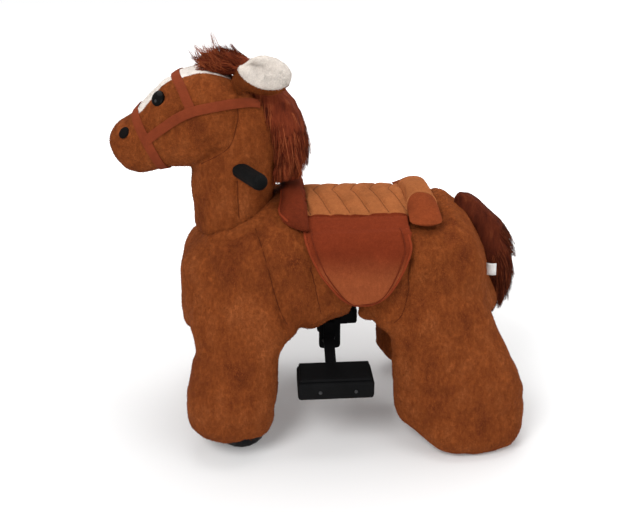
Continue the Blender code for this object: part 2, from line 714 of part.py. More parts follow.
def build_hub():
    for side, sign in SIDES:
        near, far = sorted((sign * HUB_HALF, sign * HUB_OUT))
        plate = home(outline(hub_plate_outline(), near, far), HUB, "hub_plate_" + side, "frame")
        for x, z in pivot_places():
            cut(plate, HUB, rod((x, near - OVERRUN, z), (x, far + OVERRUN, z), PIN_R + GAP))
    web = block(
        (-WEB_THICK / 2, -HUB_HALF + GAP, HUB_STEM_BOTTOM_Z + WEB_RISE),
        (WEB_THICK / 2, HUB_HALF - GAP, HUB_STEM_BOTTOM_Z + WEB_RISE + WEB_HEIGHT),
    )
    home(web, HUB, "hub_web", "frame")
    for end_name, (x, z) in zip(("front", "rear"), pivot_places()):
        end = HUB_OUT + GAP
        profile = [
            (0, -end - PIN_HEAD), (PIN_HEAD_R, -end - PIN_HEAD), (PIN_HEAD_R, -end), (PIN_R, -end),
            (PIN_R, end), (PIN_HEAD_R, end), (PIN_HEAD_R, end + PIN_HEAD), (0, end + PIN_HEAD),
        ]
        pin = settled(turned(profile[::-1], (x, 0, z), (0, 1, 0), ROUND_SIDES))
        home(pin, HUB, "pivot_pin_" + end_name, "steel")
        home(torsion_spring(x, z), HUB, "return_spring_" + end_name, "steel")


def torsion_spring(x, z):
    """A few turns of wire round the sleeve, inside the left hub plate."""
    radius = SLEEVE_R + SPRING_CLEAR + SPRING_WIRE_R
    start = -HUB_HALF + GAP + SPRING_WIRE_R
    end = -ARM_R - SPRING_CLEAR - SPRING_WIRE_R
    per_turn = 10
    count = SPRING_TURNS * per_turn
    curve = bpy.data.curves.new("torsion_spring", "CURVE")
    curve.dimensions = "3D"
    curve.bevel_depth = SPRING_WIRE_R
    curve.bevel_resolution = 1
    curve.use_fill_caps = True
    line = curve.splines.new("POLY")
    line.points.add(count)
    for i, point in enumerate(line.points):
        angle = 2 * math.pi * i / per_turn
        along = start + (end - start) * i / count
        point.co = (x + radius * math.cos(angle), along, z + radius * math.sin(angle), 1)
    return settled(bpy.data.objects.new("torsion_spring", curve))


def crank(x, up, body):
    """A crank plate on a sleeve with the sync link's pin, for one side of the link."""
    pin_z = PIVOT_Z + up * CRANK_R
    half = CRANK_WIDTH / 2
    quarter = math.pi / 2
    points = arc((x, pin_z), half, 0, up * 2 * quarter, ARC_STEPS)
    points += [(x - half, PIVOT_Z), (x + half, PIVOT_Z)]
    plate = outline(points, CRANK_SIDE_Y, CRANK_Y)
    pin_end = CRANK_Y + GAP + LINK_PLATE + GAP
    pin = rod((x, CRANK_SIDE_Y + CRANK_PLATE / 2, pin_z), (x, pin_end, pin_z), CRANK_PIN_R, 10)
    return plate, pin


def sleeve(x):
    end = HUB_HALF - RUN
    return rod((x, -end, PIVOT_Z), (x, end, PIVOT_Z), SLEEVE_R)


def sleeve_bore(x):
    return rod((x, -HUB_OUT, PIVOT_Z), (x, HUB_OUT, PIVOT_Z), PIN_R + RUN)


FRONT_ARM_END_Z = (HEAD_TUBE_BOTTOM_Z + HEAD_TUBE_TOP_Z) / 2 - ARM_R
FRONT_ARM = ((FRONT_PIVOT_X, 0, PIVOT_Z), (STEER_X, 0, FRONT_ARM_END_Z))
REAR_ARM = ((REAR_PIVOT_REACH, 0, PIVOT_Z), (REAR_LEG_X, 0, REAR_CROSS_Z + CROSS_HEIGHT / 2))


def head_tube_parts():
    bar_back = STEER_X - CROSS_LENGTH / 2 - GAP
    return (
        rod((STEER_X, 0, HEAD_TUBE_BOTTOM_Z), (STEER_X, 0, HEAD_TUBE_TOP_Z), HEAD_TUBE_R),
        block(
            (bar_back - BEHIND_BAR, -BEHIND_BAR_WIDTH / 2, FRONT_CROSS_Z),
            (bar_back, BEHIND_BAR_WIDTH / 2, FRONT_CROSS_Z + BEHIND_BAR_RISE),
        ),
    )


def head_tube_web():
    """Ties the head tube to the bar in front of it."""
    top = FRONT_CROSS_Z + BEHIND_BAR_RISE - GAP
    return block(
        (STEER_X - CROSS_LENGTH / 2 - BEHIND_BAR / 2, -HEAD_TUBE_R / 2, HEAD_TUBE_BOTTOM_Z + GAP),
        (STEER_X - COLUMN_R, HEAD_TUBE_R / 2, top),
    )


def build_front_frame():
    arm = home(sleeve(FRONT_PIVOT_X), FRONT, "front_swing_arm", "frame")
    fuse(arm, FRONT, rod(*FRONT_ARM, ARM_R), *head_tube_parts(), head_tube_web())
    fuse(arm, FRONT, *crank(FRONT_PIVOT_X, 1, FRONT))
    cut(
        arm,
        FRONT,
        sleeve_bore(FRONT_PIVOT_X),
        rod(
            (STEER_X, 0, HEAD_TUBE_BOTTOM_Z - OVERRUN),
            (STEER_X, 0, HEAD_TUBE_TOP_Z + OVERRUN),
            COLUMN_R + RUN,
            24,
        ),
    )
    cross = home(cross_bar(STEER_X, FRONT_CROSS_Z), FRONT, "front_cross_bar", "frame")
    for side, sign in SIDES:
        y = sign * LEG_Y
        cut(
            cross,
            FRONT,
            rod(
                (STEER_X, y, FRONT_CROSS_Z - OVERRUN),
                (STEER_X, y, FRONT_CROSS_Z + CROSS_HEIGHT + OVERRUN),
                KINGPIN_R + RUN,
            ),
        )
        tube = rod((STEER_X, y, CROWN_Z + FORK_CROWN + RUN), (STEER_X, y, FRONT_CROSS_Z - GAP), LEG_TUBE_R)
        tube = home(tube, FRONT, "front_leg_tube_" + side, "frame")
        cut(
            tube,
            FRONT,
            rod((STEER_X, y, CROWN_Z), (STEER_X, y, FRONT_CROSS_Z + OVERRUN), KINGPIN_R + RUN),
        )


def cross_bar(x, z, grow=0.0):
    reach = LEG_Y + CROSS_END_REACH + grow
    half = CROSS_LENGTH / 2 + grow
    return block((x - half, -reach, z - grow), (x + half, reach, z + CROSS_HEIGHT + grow))


def fork_blades(x, y):
    """Two blades and a crown over a wheel, with the axle through them."""
    top = CROWN_Z + FORK_CROWN
    out = FORK_HALF + FORK_BLADE
    half = FORK_BLADE_WIDTH / 2
    parts = [block((x - half, y - out, CROWN_Z), (x + half, y + out, top))]
    for sign in (-1, 1):
        near, far = sorted((y + sign * FORK_HALF, y + sign * out))
        parts.append(
            block((x - half, near, WHEEL_R - FORK_TAIL), (x + half, far, CROWN_Z + FORK_CROWN / 2))
        )
    end = out + AXLE_END
    parts.append(rod((x, y - end, WHEEL_R), (x, y + end, WHEEL_R), AXLE_R, 10))
    return parts


def steer_arm(x, y, body):
    """The level arm on a column or kingpin, with its pin up through the tie rod."""
    half = STEER_ARM_WIDTH / 2
    tip = x + STEER_ARM
    quarter = math.pi / 2
    points = arc((tip, y), half, -quarter, quarter, ARC_STEPS) + arc((x, y), half, quarter, 3 * quarter, ARC_STEPS)
    plate = outline(points, ARM_LEVEL_Z, ARM_LEVEL_Z + STEER_ARM_PLATE, "Z")
    low = ARM_LEVEL_Z + STEER_ARM_PLATE / 2
    pin = rod((tip, y, low), (tip, y, TIE_Z + TIE_PLATE + TIE_CLEAR), STEER_PIN_R, 10)
    return plate, pin


def build_forks():
    for side, sign in SIDES:
        y = sign * LEG_Y
        body = empty("front_fork_axis_" + side, (STEER_X, y, WHEEL_R), FRONT)
        top = ARM_LEVEL_Z + STEER_ARM_PLATE + GAP
        kingpin = rod((STEER_X, y, CROWN_Z + FORK_CROWN / 2), (STEER_X, y, top), KINGPIN_R)
        fork = home(kingpin, body, "front_fork_" + side, "frame")
        fuse(fork, body, *fork_blades(STEER_X, y), *steer_arm(STEER_X, y, body))
        build_wheel("front_" + side, STEER_X, y, body)


def build_wheel(name, x, y, parent):
    axle = empty("axle_" + name, (x, y, WHEEL_R), parent)
    tread, boss, web = TYRE_WIDTH / 2, HUB_BOSS_WIDTH / 2, WHEEL_WEB / 2
    inner, bore = WHEEL_R - TYRE_DEPTH, AXLE_R + RUN
    profile = [
        (bore, boss), (HUB_BOSS_R, boss), (HUB_BOSS_R, web), (inner, web),
        (WHEEL_R - TYRE_ROUND, tread), (WHEEL_R, tread - TYRE_ROUND),
        (WHEEL_R, TYRE_ROUND - tread), (WHEEL_R - TYRE_ROUND, -tread),
        (inner, -web), (HUB_BOSS_R, -web), (HUB_BOSS_R, -boss), (bore, -boss),
    ]
    wheel = settled(turned(profile, (x, y, WHEEL_R), (0, 1, 0), WHEEL_SIDES))
    home(wheel, axle, "wheel_" + name, "rubber")


def build_rear_frame():
    arm = home(sleeve(REAR_PIVOT_REACH), REAR, "rear_swing_arm", "frame")
    fuse(arm, REAR, rod(*REAR_ARM, ARM_R), *crank(REAR_PIVOT_REACH, -1, REAR))
    cut(arm, REAR, sleeve_bore(REAR_PIVOT_REACH), cross_bar(REAR_LEG_X, REAR_CROSS_Z, GAP))
    beyond = block(
        (REAR_LEG_X - OVERRUN, -LEG_TUBE_R - OVERRUN, REAR_CROSS_Z - OVERRUN),
        (REAR_LEG_X + CROSS_LENGTH, LEG_TUBE_R + OVERRUN, REAR_CROSS_Z + CROSS_HEIGHT),
    )
    cut(arm, REAR, beyond)
    home(cross_bar(REAR_LEG_X, REAR_CROSS_Z), REAR, "rear_cross_bar", "frame")
    for side, sign in SIDES:
        y = sign * LEG_Y
        tube = rod((REAR_LEG_X, y, CROWN_Z + FORK_CROWN / 2), (REAR_LEG_X, y, REAR_CROSS_Z - GAP), LEG_TUBE_R)
        leg = home(tube, REAR, "rear_leg_fork_" + side, "frame")
        fuse(leg, REAR, *fork_blades(REAR_LEG_X, y))
        build_wheel("rear_" + side, REAR_LEG_X, y, REAR)


def build_sync_link():
    """The crossed bar that makes the rear frame open as far as the front one."""
    start = Vector((FRONT_PIVOT_X, 0, PIVOT_Z + CRANK_R))
    end = Vector((REAR_PIVOT_REACH, 0, PIVOT_Z - CRANK_R))
    lean = math.atan2(end.z - start.z, end.x - start.x)
    quarter = math.pi / 2
    half = LINK_WIDTH / 2
    points = arc((end.x, end.z), half, lean - quarter, lean + quarter, ARC_STEPS)
    points += arc((start.x, start.z), half, lean + quarter, lean + 3 * quarter, ARC_STEPS)
    near = CRANK_Y + GAP
    link = home(outline(points, near, near + LINK_PLATE), LINK, "sync_link", "frame")
    for place, clearance in ((start, RUN), (end, LINK_FREE_PLAY)):
        cut(
            link,
            LINK,
            rod((place.x, CRANK_SIDE_Y, place.z), (place.x, HUB_OUT, place.z), CRANK_PIN_R + clearance, 10),
        )


def build_tie_rod():
    x = STEER_X + STEER_ARM
    half = TIE_WIDTH / 2
    quarter = math.pi / 2
    points = arc((x, LEG_Y), half, 0, 2 * quarter, ARC_STEPS) + arc((x, -LEG_Y), half, 2 * quarter, 4 * quarter, ARC_STEPS)
    bar = home(outline(points, TIE_Z, TIE_Z + TIE_PLATE, "Z"), TIE, "tie_rod", "frame")
    for y in (-LEG_Y, 0, LEG_Y):
        cut(bar, TIE, rod((x, y, ARM_LEVEL_Z), (x, y, TIE_Z + OVERRUN), STEER_PIN_R + RUN, 10))


def grip_axis(sign):
    base = Vector((STEER_X, 0, HANDLE_Z))
    start = base + Vector((GRIP_START[0], sign * GRIP_START[1], GRIP_START[2]))
    tip = base + Vector((GRIP_TIP[0], sign * GRIP_TIP[1], GRIP_TIP[2]))
    return start, tip


def handlebar(radius, name="handlebar"):
    """The bar: straight through the stem block, then swept back to both grips."""
    curve = bpy.data.curves.new(name, "CURVE")
    curve.dimensions = "3D"
    curve.bevel_depth = radius
    curve.bevel_resolution = 3
    curve.use_fill_caps = True
    route = []
    for sign in (-1, 1):
        start, tip = grip_axis(sign)
        along = (tip - start).normalized()
        half = [
            Vector((STEER_X, sign * HANDLE_STRAIGHT, HANDLE_Z)),
            start,
            start + along * GRIP_COVER,
        ]
        route = half[::-1] if sign < 0 else route + half
    line = curve.splines.new("POLY")
    line.points.add(len(route) - 1)
    for point, place in zip(line.points, route):
        point.co = (*place, 1)
    return settled(bpy.data.objects.new(name, curve))


def grip(sign, grow=0.0):
    start, tip = grip_axis(sign)
    along = (tip - start).normalized()
    length = (tip - start).length
    radius = GRIP_R + grow
    quarter = math.pi / 2
    dome = GRIP_R * 0.8
    profile = [(0, -grow), (radius, -grow)]
    profile += [
        (radius * math.cos(quarter * i / 4), length - dome + (dome + grow) * math.sin(quarter * i / 4))
        for i in range(5)
    ]
    profile[-1] = (0, length + grow)
    return settled(turned(profile[::-1], start, along, ROUND_SIDES))


def build_steering():
    column = rod((STEER_X, 0, ARM_LEVEL_Z + STEER_ARM_PLATE / 2), (STEER_X, 0, HANDLE_Z), COLUMN_R)
    column = home(column, STEER, "steering_column", "frame")
    fuse(column, STEER, stem_block(), *steer_arm(STEER_X, 0, STEER))
    cut(column, STEER, rod((STEER_X, -STEM_BLOCK, HANDLE_Z), (STEER_X, STEM_BLOCK, HANDLE_Z), HANDLE_R + GAP))
    home(handlebar(HANDLE_R), STEER, "handlebar", "steel")
    for side, sign in SIDES:
        piece = home(grip(sign), STEER, "grip_" + side, "rubber")
        start, tip = grip_axis(sign)
        along = (tip - start).normalized()
        cut(piece, STEER, rod(start - along * OVERRUN, start + along * (GRIP_COVER + GAP), HANDLE_R + GAP))


def stem_block(grow=0.0):
    half = STEM_BLOCK / 2 + grow
    return block((STEER_X - half, -half, HANDLE_Z - half), (STEER_X + half, half, HANDLE_Z + half))


FRONT_BODY = Form(
    FRONT_BODY_X, FRONT_BODY_Z, FRONT_BODY_LENGTH, FRONT_BODY_HEIGHT, FRONT_BODY_WIDTH, FRONT_BODY_SHARES
)
REAR_BODY = Form(
    REAR_BODY_X, REAR_BODY_Z, REAR_BODY_LENGTH, REAR_BODY_HEIGHT, REAR_BODY_WIDTH, REAR_BODY_SHARES
)
NECK = Form(
    STEER_X - NECK_BASE_R, NECK_Z, 2 * NECK_BASE_R / NECK_BASE_SHARE, NECK_HEIGHT, 2 * NECK_BASE_R,
    NECK_SHARES, power=1.0,
)
HEAD = Form(HEAD_X, HEAD_Z, HEAD_LENGTH, HEAD_HEIGHT, HEAD_WIDTH, HEAD_SHARES)
MANE = Form(MANE_X, MANE_Z, MANE_LENGTH, MANE_HEIGHT, MANE_WIDTH, MANE_SHARES)
FORELOCK = Form(
    FORELOCK_X, FORELOCK_Z, FORELOCK_LENGTH, FORELOCK_HEIGHT, FORELOCK_WIDTH, FORELOCK_SHARES
)
TAIL = Form(TAIL_X, TAIL_Z, TAIL_LENGTH, TAIL_HEIGHT, TAIL_WIDTH, TAIL_SHARES, power=0.9)


def leg_form(front, sign):
    if front:
        return Form(
            FRONT_LEG_X, FRONT_LEG_Z, FRONT_LEG_LENGTH, FRONT_LEG_HEIGHT, FRONT_LEG_WIDTH,
            FRONT_LEG_SHARES, 0.0, sign * LEG_Y, 0.9,
        )
    return Form(
        REAR_LEG_BOX_X, REAR_LEG_Z, REAR_LEG_LENGTH, REAR_LEG_HEIGHT, REAR_LEG_WIDTH,
        REAR_LEG_SHARES, 0.0, sign * LEG_Y, 0.9,
    )


def saddle_room(body_back):
    """The stuffing is flat under the saddle board, clear of it while the frames swing."""
    return block(
        (CUSHION_FRONT_X - SADDLE_ROOM_FRONT, -SADDLE_ROOM_HALF_WIDTH, BOARD_BOTTOM_Z - SADDLE_ROOM_UNDER),
        (body_back, SADDLE_ROOM_HALF_WIDTH, FRONT_BODY_Z + FRONT_BODY_HEIGHT + OVERRUN),
    )


def hub_room():
    """The slot in the stuffing for the hub's beam and stem."""
    out = HUB_OUT + PIN_HEAD + HUB_ROOM
    back = REAR_PIVOT_REACH + HUB_END_R + HUB_ROOM
    low = PIVOT_Z - CRANK_R - CRANK_WIDTH / 2 - HUB_ROOM
    beam = ((FRONT_PIVOT_X - HUB_END_R - HUB_ROOM, -out, low), (back, out, BOARD_BOTTOM_Z + HUB_ROOM))
    stem = (
        (-HUB_STEM_LENGTH / 2 - HUB_ROOM, -out, HUB_STEM_BOTTOM_Z - OVERRUN),
        (HUB_STEM_LENGTH / 2 + HUB_ROOM, out, low + HUB_ROOM),
    )
    return beam, stem


def linkage_room():
    reach = LEG_Y + STEER_ARM / 2 + STEER_ARM_WIDTH / 2 + LINKAGE_ROOM
    return block(
        (STEER_X - STEER_ARM_WIDTH / 2 - KINGPIN_R - LINKAGE_ROOM, -reach, FRONT_CROSS_Z + CROSS_HEIGHT),
        (STEER_X + STEER_ARM + STEER_ARM_WIDTH / 2 + LINKAGE_ROOM, reach, TIE_Z + TIE_PLATE + LINKAGE_ROOM),
    )


def build_front_body():
    body = home(FRONT_BODY.solid(BODY_AROUND, 1), FRONT, "plush_front_body", "plush")
    beam, stem = hub_room()
    well = rod(
        (STEER_X, 0, NECK_Z - NECK_WELL_FLOOR),
        (STEER_X, 0, NECK_Z + NECK_HEIGHT),
        NECK_BASE_R + NECK_WELL_ROOM,
        WELL_SIDES,
    )
    web_back = STEER_X - CROSS_LENGTH / 2 - GAP
    cut(
        body,
        FRONT,
        saddle_room(CUSHION_BACK_X),
        block(*beam),
        block(*stem),
        well,
        rod(*FRONT_ARM, ARM_R + GAP),
        rod((STEER_X, 0, FRONT_CROSS_Z), (STEER_X, 0, HEAD_TUBE_TOP_Z + OVERRUN), HEAD_TUBE_R + GAP, 24),
        block(
            (web_back - BEHIND_BAR - GAP, -BEHIND_BAR_WIDTH / 2 - GAP, FRONT_CROSS_Z - GAP),
            (STEER_X - COLUMN_R, BEHIND_BAR_WIDTH / 2 + GAP, FRONT_CROSS_Z + BEHIND_BAR_RISE + GAP),
        ),
        cross_bar(STEER_X, FRONT_CROSS_Z, GAP),
        linkage_room(),
        *front_leg_tools(-1),
        *front_leg_tools(1),
    )


def front_leg_tools(sign):
    y = sign * LEG_Y
    return (
        rod((STEER_X, y, CROWN_Z), (STEER_X, y, FRONT_CROSS_Z + CROSS_HEIGHT), LEG_TUBE_R + GAP),
    )


def build_front_legs():
    for side, sign in SIDES:
        y = sign * LEG_Y
        leg = leg_form(True, sign).solid(FORM_AROUND, 1)
        leg = home(leg, FRONT, "plush_front_leg_" + side, "plush")
        cut(
            leg,
            FRONT,
            FRONT_BODY.solid(BODY_AROUND, 1, 2 * GAP),
            *front_leg_tools(sign),
            cross_bar(STEER_X, FRONT_CROSS_Z, GAP),
            linkage_room(),
            rod((STEER_X, y, -OVERRUN), (STEER_X, y, CROWN_Z + FORK_CROWN + WELL_ROOM), WELL_R, WELL_SIDES),
        )


def cantle_rows():
    rows = []
    for across, sag, section in CANTLE_SHARES:
        centre = Vector((CANTLE_X, across * CANTLE_HALF_WIDTH, CANTLE_Z - sag * CANTLE_SAG))
        rows.append((centre, section))
    return rows


def cantle(grow=0.0):
    work = bmesh.new()
    around = FORM_AROUND
    rings = []
    rows = cantle_rows()
    for i, (centre, section) in enumerate(rows):
        end = math.copysign(grow, centre.y) if i in (0, len(rows) - 1) else 0
        ring = []
        for k in range(around):
            angle = 2 * math.pi * k / around
            place = centre + Vector((
                (CANTLE_HALF_LENGTH * section + grow) * math.cos(angle),
                end,
                (CANTLE_HALF_HEIGHT * section + grow) * math.sin(angle),
            ))
            ring.append(work.verts.new(place))
        rings.append(ring)
    for low, high in zip(rings, rings[1:]):
        skirt(work, low, high)
    for ring in (rings[0], rings[-1]):
        work.faces.new(ring)
    return from_bmesh("cantle", work)


def build_rear_body():
    body = home(REAR_BODY.solid(BODY_AROUND, 1), REAR, "plush_rear_body", "plush")
    beam, _ = hub_room()
    cut(
        body,
        REAR,
        saddle_room(BOARD_BACK_X + SADDLE_ROOM_BACK),
        cantle(CANTLE_ROOM),
        block(*beam),
        rod(*REAR_ARM, ARM_R + GAP),
        cross_bar(REAR_LEG_X, REAR_CROSS_Z, GAP),
        *rear_leg_tools(-1),
        *rear_leg_tools(1),
    )


def rear_leg_tools(sign):
    y = sign * LEG_Y
    return (rod((REAR_LEG_X, y, CROWN_Z), (REAR_LEG_X, y, REAR_CROSS_Z), LEG_TUBE_R + GAP),)


def build_rear_legs():
    for side, sign in SIDES:
        y = sign * LEG_Y
        leg = leg_form(False, sign).solid(FORM_AROUND, 1)
        leg = home(leg, REAR, "plush_rear_leg_" + side, "plush")
        half = FORK_HALF + FORK_BLADE + AXLE_END + WELL_ROOM
        cut(
            leg,
            REAR,
            REAR_BODY.solid(BODY_AROUND, 1, 2 * GAP),
            *rear_leg_tools(sign),
            cross_bar(REAR_LEG_X, REAR_CROSS_Z, GAP),
            block(
                (REAR_LEG_X - WELL_R, y - half, -OVERRUN),
                (REAR_LEG_X + WELL_R, y + half, CROWN_Z + FORK_CROWN + WELL_ROOM),
            ),
        )


def build_neck_and_head():
    neck = home(NECK.solid(WELL_SIDES, 1), STEER, "plush_neck", "plush")
    cut(
        neck,
        STEER,
        rod((STEER_X, 0, NECK_Z - OVERRUN), (STEER_X, 0, HANDLE_Z), COLUMN_R + GAP),
        stem_block(GAP),
        handlebar(HANDLE_R + GAP, "bar_room"),
        grip(-1, GAP),
        grip(1, GAP),
        HEAD.solid(FORM_AROUND, 1, 4 * GAP),
    )
    head = home(HEAD.solid(FORM_AROUND, 1), STEER, "plush_head", "plush")
    cut(head, STEER, stem_block(GAP))
    for side, sign in SIDES:
        cut(head, STEER, eye(sign, GAP))
        home(eye(sign), STEER, "eye_" + side, "gloss")


def on_head(ring, angle, sign, size, sink_share):
    """A place on the head's skin, and a turn that lays a flat oval along the skin there."""
    place = HEAD.point(ring, sign * angle)
    ahead = HEAD.point(ring - 0.2, sign * angle) - place
    around = HEAD.point(ring, sign * angle * 0.9) - place
    out = ahead.cross(around).normalized() * -sign
    if out.y * sign < 0:
        out = -out
    ahead = (ahead - out * ahead.dot(out)).normalized()
    up = ahead.cross(out)
    turn = Matrix((ahead, out, up)).transposed().to_4x4()
    return place - out * size * sink_share, turn


def eye(sign, grow=0.0):
    centre, turn = on_head(EYE_RING, EYE_ANGLE, sign, EYE_DEPTH, EYE_SINK_SHARE)
    size = (EYE_LENGTH + 2 * grow, EYE_DEPTH + 2 * grow, EYE_HEIGHT + 2 * grow)
    return ball(centre, size, turn)


def strap(route, closed=False):
    """A flat strap on the head along a route of (ring, angle), its width set square to the route."""
    work = bmesh.new()
    sections = []
    count = len(route)
    for i, (ring, angle) in enumerate(route):
        before = route[i - 1] if closed or i else route[0]
        after = route[(i + 1) % count] if closed or i < count - 1 else route[-1]
        along = HEAD.point(*after) - HEAD.point(*before)
        place = HEAD.point(ring, angle)
        skin_a = HEAD.point(ring + 0.05, angle) - place
        skin_b = HEAD.point(ring, angle + 0.05) - place
        out = skin_a.cross(skin_b).normalized()
        if out.dot(place - between_point(ring)) < 0:
            out = -out
        across = along.cross(out).normalized() * STRAP_WIDTH / 2
        low = place + out * STRAP_LIFT
        high = low + out * STRAP_THICK
        sections.append([work.verts.new(p) for p in (low - across, low + across, high + across, high - across)])
    pairs = list(zip(sections, sections[1:]))
    if closed:
        pairs.append((sections[-1], sections[0]))
    for near, far in pairs:
        skirt(work, near, far)
    if not closed:
        for section in (sections[0], sections[-1]):
            work.faces.new(section)
    return from_bmesh("strap", work)


def between_point(ring):
    ax, az, bx, bz, _, y = between(HEAD.rows, ring)
    return Vector(((ax + bx) / 2, y, (az + bz) / 2))


def build_bridle():
    turns = 30
    nose = []
    for i in range(turns):
        angle = 2 * math.pi * i / turns
        share = (1 - math.cos(angle)) / 2
        nose.append((NOSEBAND_TOP_RING + (NOSEBAND_LOW_RING - NOSEBAND_TOP_RING) * share, angle))
    cut(home(strap(nose, True), STEER, "noseband", "strap"), STEER, head_tool())
    brow = []
    for i in range(25):
        angle = BROW_END_ANGLE * (i / 12 - 1)
        share = abs(angle) / BROW_END_ANGLE
        brow.append((BROW_TOP_RING + (BROW_LOW_RING - BROW_TOP_RING) * share, angle))
    cut(home(strap(brow), STEER, "browband", "strap"), STEER, head_tool())
    for side, sign in SIDES:
        steps = 4
        route = []
        for i in range((len(CHEEK_ROUTE) - 1) * steps + 1):
            ring, angle = between(CHEEK_ROUTE, i / steps)
            route.append((ring, sign * angle))
        piece = home(strap(route), STEER, "cheek_strap_" + side, "strap")
        cut(piece, STEER, grown_strap(nose), head_tool(), ear_form(sign).solid(SMALL_AROUND, 1, GAP))


def head_tool():
    return HEAD.solid(FORM_AROUND, 1, GAP)


def grown_strap(route):
    """The noseband with room round it, to end the cheek straps on its edge."""
    tool = strap(route, True)
    work = bmesh.new()
    work.from_mesh(tool.data)
    bmesh.ops.recalc_face_normals(work, faces=work.faces)
    for vert in work.verts:
        vert.normal_update()
    for vert in work.verts:
        vert.co += vert.normal * 2 * GAP
    work.to_mesh(tool.data)
    work.free()
    return tool


def ear_form(sign):
    drop, out, spread = (0.0, 0.0, EAR_SPREAD) if sign < 0 else (FAR_EAR_DROP, FAR_EAR_OUT, FAR_EAR_SPREAD)
    return Form(
        EAR_X, EAR_Z - drop, EAR_LENGTH, EAR_HEIGHT, EAR_WIDTH, EAR_SHARES,
        sign * (EAR_BASE_Y + out), sign * spread, 1.0,
    )


def build_hair():
    mane = home(MANE.solid(FORM_AROUND, 1), STEER, "mane", "hair")
    cut(mane, STEER, NECK.solid(WELL_SIDES, 1, 2 * GAP), HEAD.solid(FORM_AROUND, 1, 2 * GAP))
    lock = home(FORELOCK.solid(SMALL_AROUND, 1), STEER, "forelock", "hair")
    cut(
        lock,
        STEER,
        HEAD.solid(FORM_AROUND, 1, 2 * GAP),
        MANE.solid(FORM_AROUND, 1, 2 * GAP),
        NECK.solid(WELL_SIDES, 1, 2 * GAP),
    )
    tail = home(TAIL.solid(SMALL_AROUND, 1), REAR, "tail", "hair")
    cut(tail, REAR, REAR_BODY.solid(BODY_AROUND, 1, 2 * GAP))
    for side, sign in SIDES:
        ear = home(ear_form(sign).solid(SMALL_AROUND, 1), STEER, "ear_" + side, "plush")
        cut(ear, STEER, HEAD.solid(FORM_AROUND, 1, 2 * GAP))


def cushion_top(column, row):
    x = CUSHION_FRONT_X + column * (CUSHION_BACK_X - CUSHION_FRONT_X)
    y = row * CUSHION_WIDTH / 2
    board_top = BOARD_BOTTOM_Z + BOARD_THICK
    crown = CUSHION_CROWN + (CUSHION_SIDE_RISE - CUSHION_CROWN) * abs(row) ** 2.6
    skewed = x - CUSHION_FRONT_X - CUSHION_SKEW_SHARE * abs(y)
    wave = abs(math.sin(math.pi * skewed / CUSHION_CHANNEL_PITCH))
    dip = CUSHION_CHANNEL * (1 - wave) ** 2 * (1 - abs(row) ** 6)
    ends = CUSHION_FRONT_DROP * math.exp(-column * 22) + CUSHION_BACK_DROP * math.exp(-(1 - column) * 22)
    return Vector((x, y, board_top + max(crown - dip - ends, CUSHION_SIDE_RISE / 2)))


def cushion_bottom(column, row):
    x = CUSHION_FRONT_X + column * (CUSHION_BACK_X - CUSHION_FRONT_X)
    y = row * CUSHION_WIDTH / 2
    edge = CUSHION_WIDTH / 2 * CUSHION_ROW_SHARES[-4]
    beyond = max(abs(y) - edge, 0) / (CUSHION_WIDTH / 2 - edge)
    return Vector((x, y, BOARD_BOTTOM_Z + BOARD_THICK + GAP - CUSHION_SIDE_DROP * beyond))


def flap_place(column, row, sign, lift):
    drop, out, front, back = between(FLAP_SHARES, row * (len(FLAP_SHARES) - 1))
    below = between(FLAP_SHARES, row * (len(FLAP_SHARES) - 1) + 0.1)
    above = between(FLAP_SHARES, row * (len(FLAP_SHARES) - 1) - 0.1)
    fall = (below[0] - above[0]) * FLAP_DROP
    run = (below[1] - above[1]) * FLAP_OUT
    length = math.hypot(fall, run)
    y = CUSHION_WIDTH / 2 + GAP + out * FLAP_OUT + lift * fall / length
    z = FLAP_TOP_Z - drop * FLAP_DROP + lift * run / length
    x = FLAP_FRONT_X + (front + (back - front) * column) * FLAP_LENGTH
    return Vector((x, sign * y, z))


def pommel_place(column, row, lift):
    """On a strap that arches over the front body's form, clear of it."""
    reach = between([r[1:] for r in POMMEL_SHARES], pommel_row(abs(row)))[0]
    ring = POMMEL_BACK_RING - reach * (1 - column)
    edge = 1 - (2 * column - 1) ** 4
    tuck = POMMEL_BACK_TUCK * column**3 if lift else 0
    raised = POMMEL_LIFT - POMMEL_BACK_SETTLE * column**3 + lift * (0.35 + 0.65 * edge) - tuck
    return FRONT_BODY.point(ring, row * POMMEL_ANGLE, raised)


def pommel_row(across):
    """The table place whose angle share is this."""
    for i, (low, high) in enumerate(zip(POMMEL_SHARES, POMMEL_SHARES[1:])):
        if across <= high[0]:
            return i + (across - low[0]) / (high[0] - low[0])
    return len(POMMEL_SHARES) - 1


def saddle_board(grow=0.0):
    side = BOARD_WIDTH / 2 + grow
    return block(
        (BOARD_FRONT_X - grow, -side, BOARD_BOTTOM_Z - grow),
        (BOARD_BACK_X + grow, side, BOARD_BOTTOM_Z + BOARD_THICK + grow),
    )


def build_saddle():
    home(saddle_board(), HUB, "saddle_board", "board")
    cushion = padded(shares(CUSHION_COLUMNS), CUSHION_ROW_SHARES, cushion_top, cushion_bottom)
    home(cushion, HUB, "saddle_cushion", "seat")
    for side, sign in SIDES:
        flap = padded(
            shares(FLAP_COLUMNS),
            shares(12),
            lambda c, r: flap_place(c, r, sign, FLAP_THICK),
            lambda c, r: flap_place(c, r, sign, 0),
        )
        home(flap, HUB, "saddle_flap_" + side, "flap")
    across = [i / 8 for i in range(-8, 9)]
    pommel = padded(
        shares(POMMEL_COLUMNS),
        across,
        lambda c, r: pommel_place(c, r, POMMEL_THICK),
        lambda c, r: pommel_place(c, r, 0),
    )
    home(pommel, HUB, "pommel", "flap")
    roll = home(cantle(), HUB, "cantle", "seat")
    cut(roll, HUB, saddle_board(GAP))


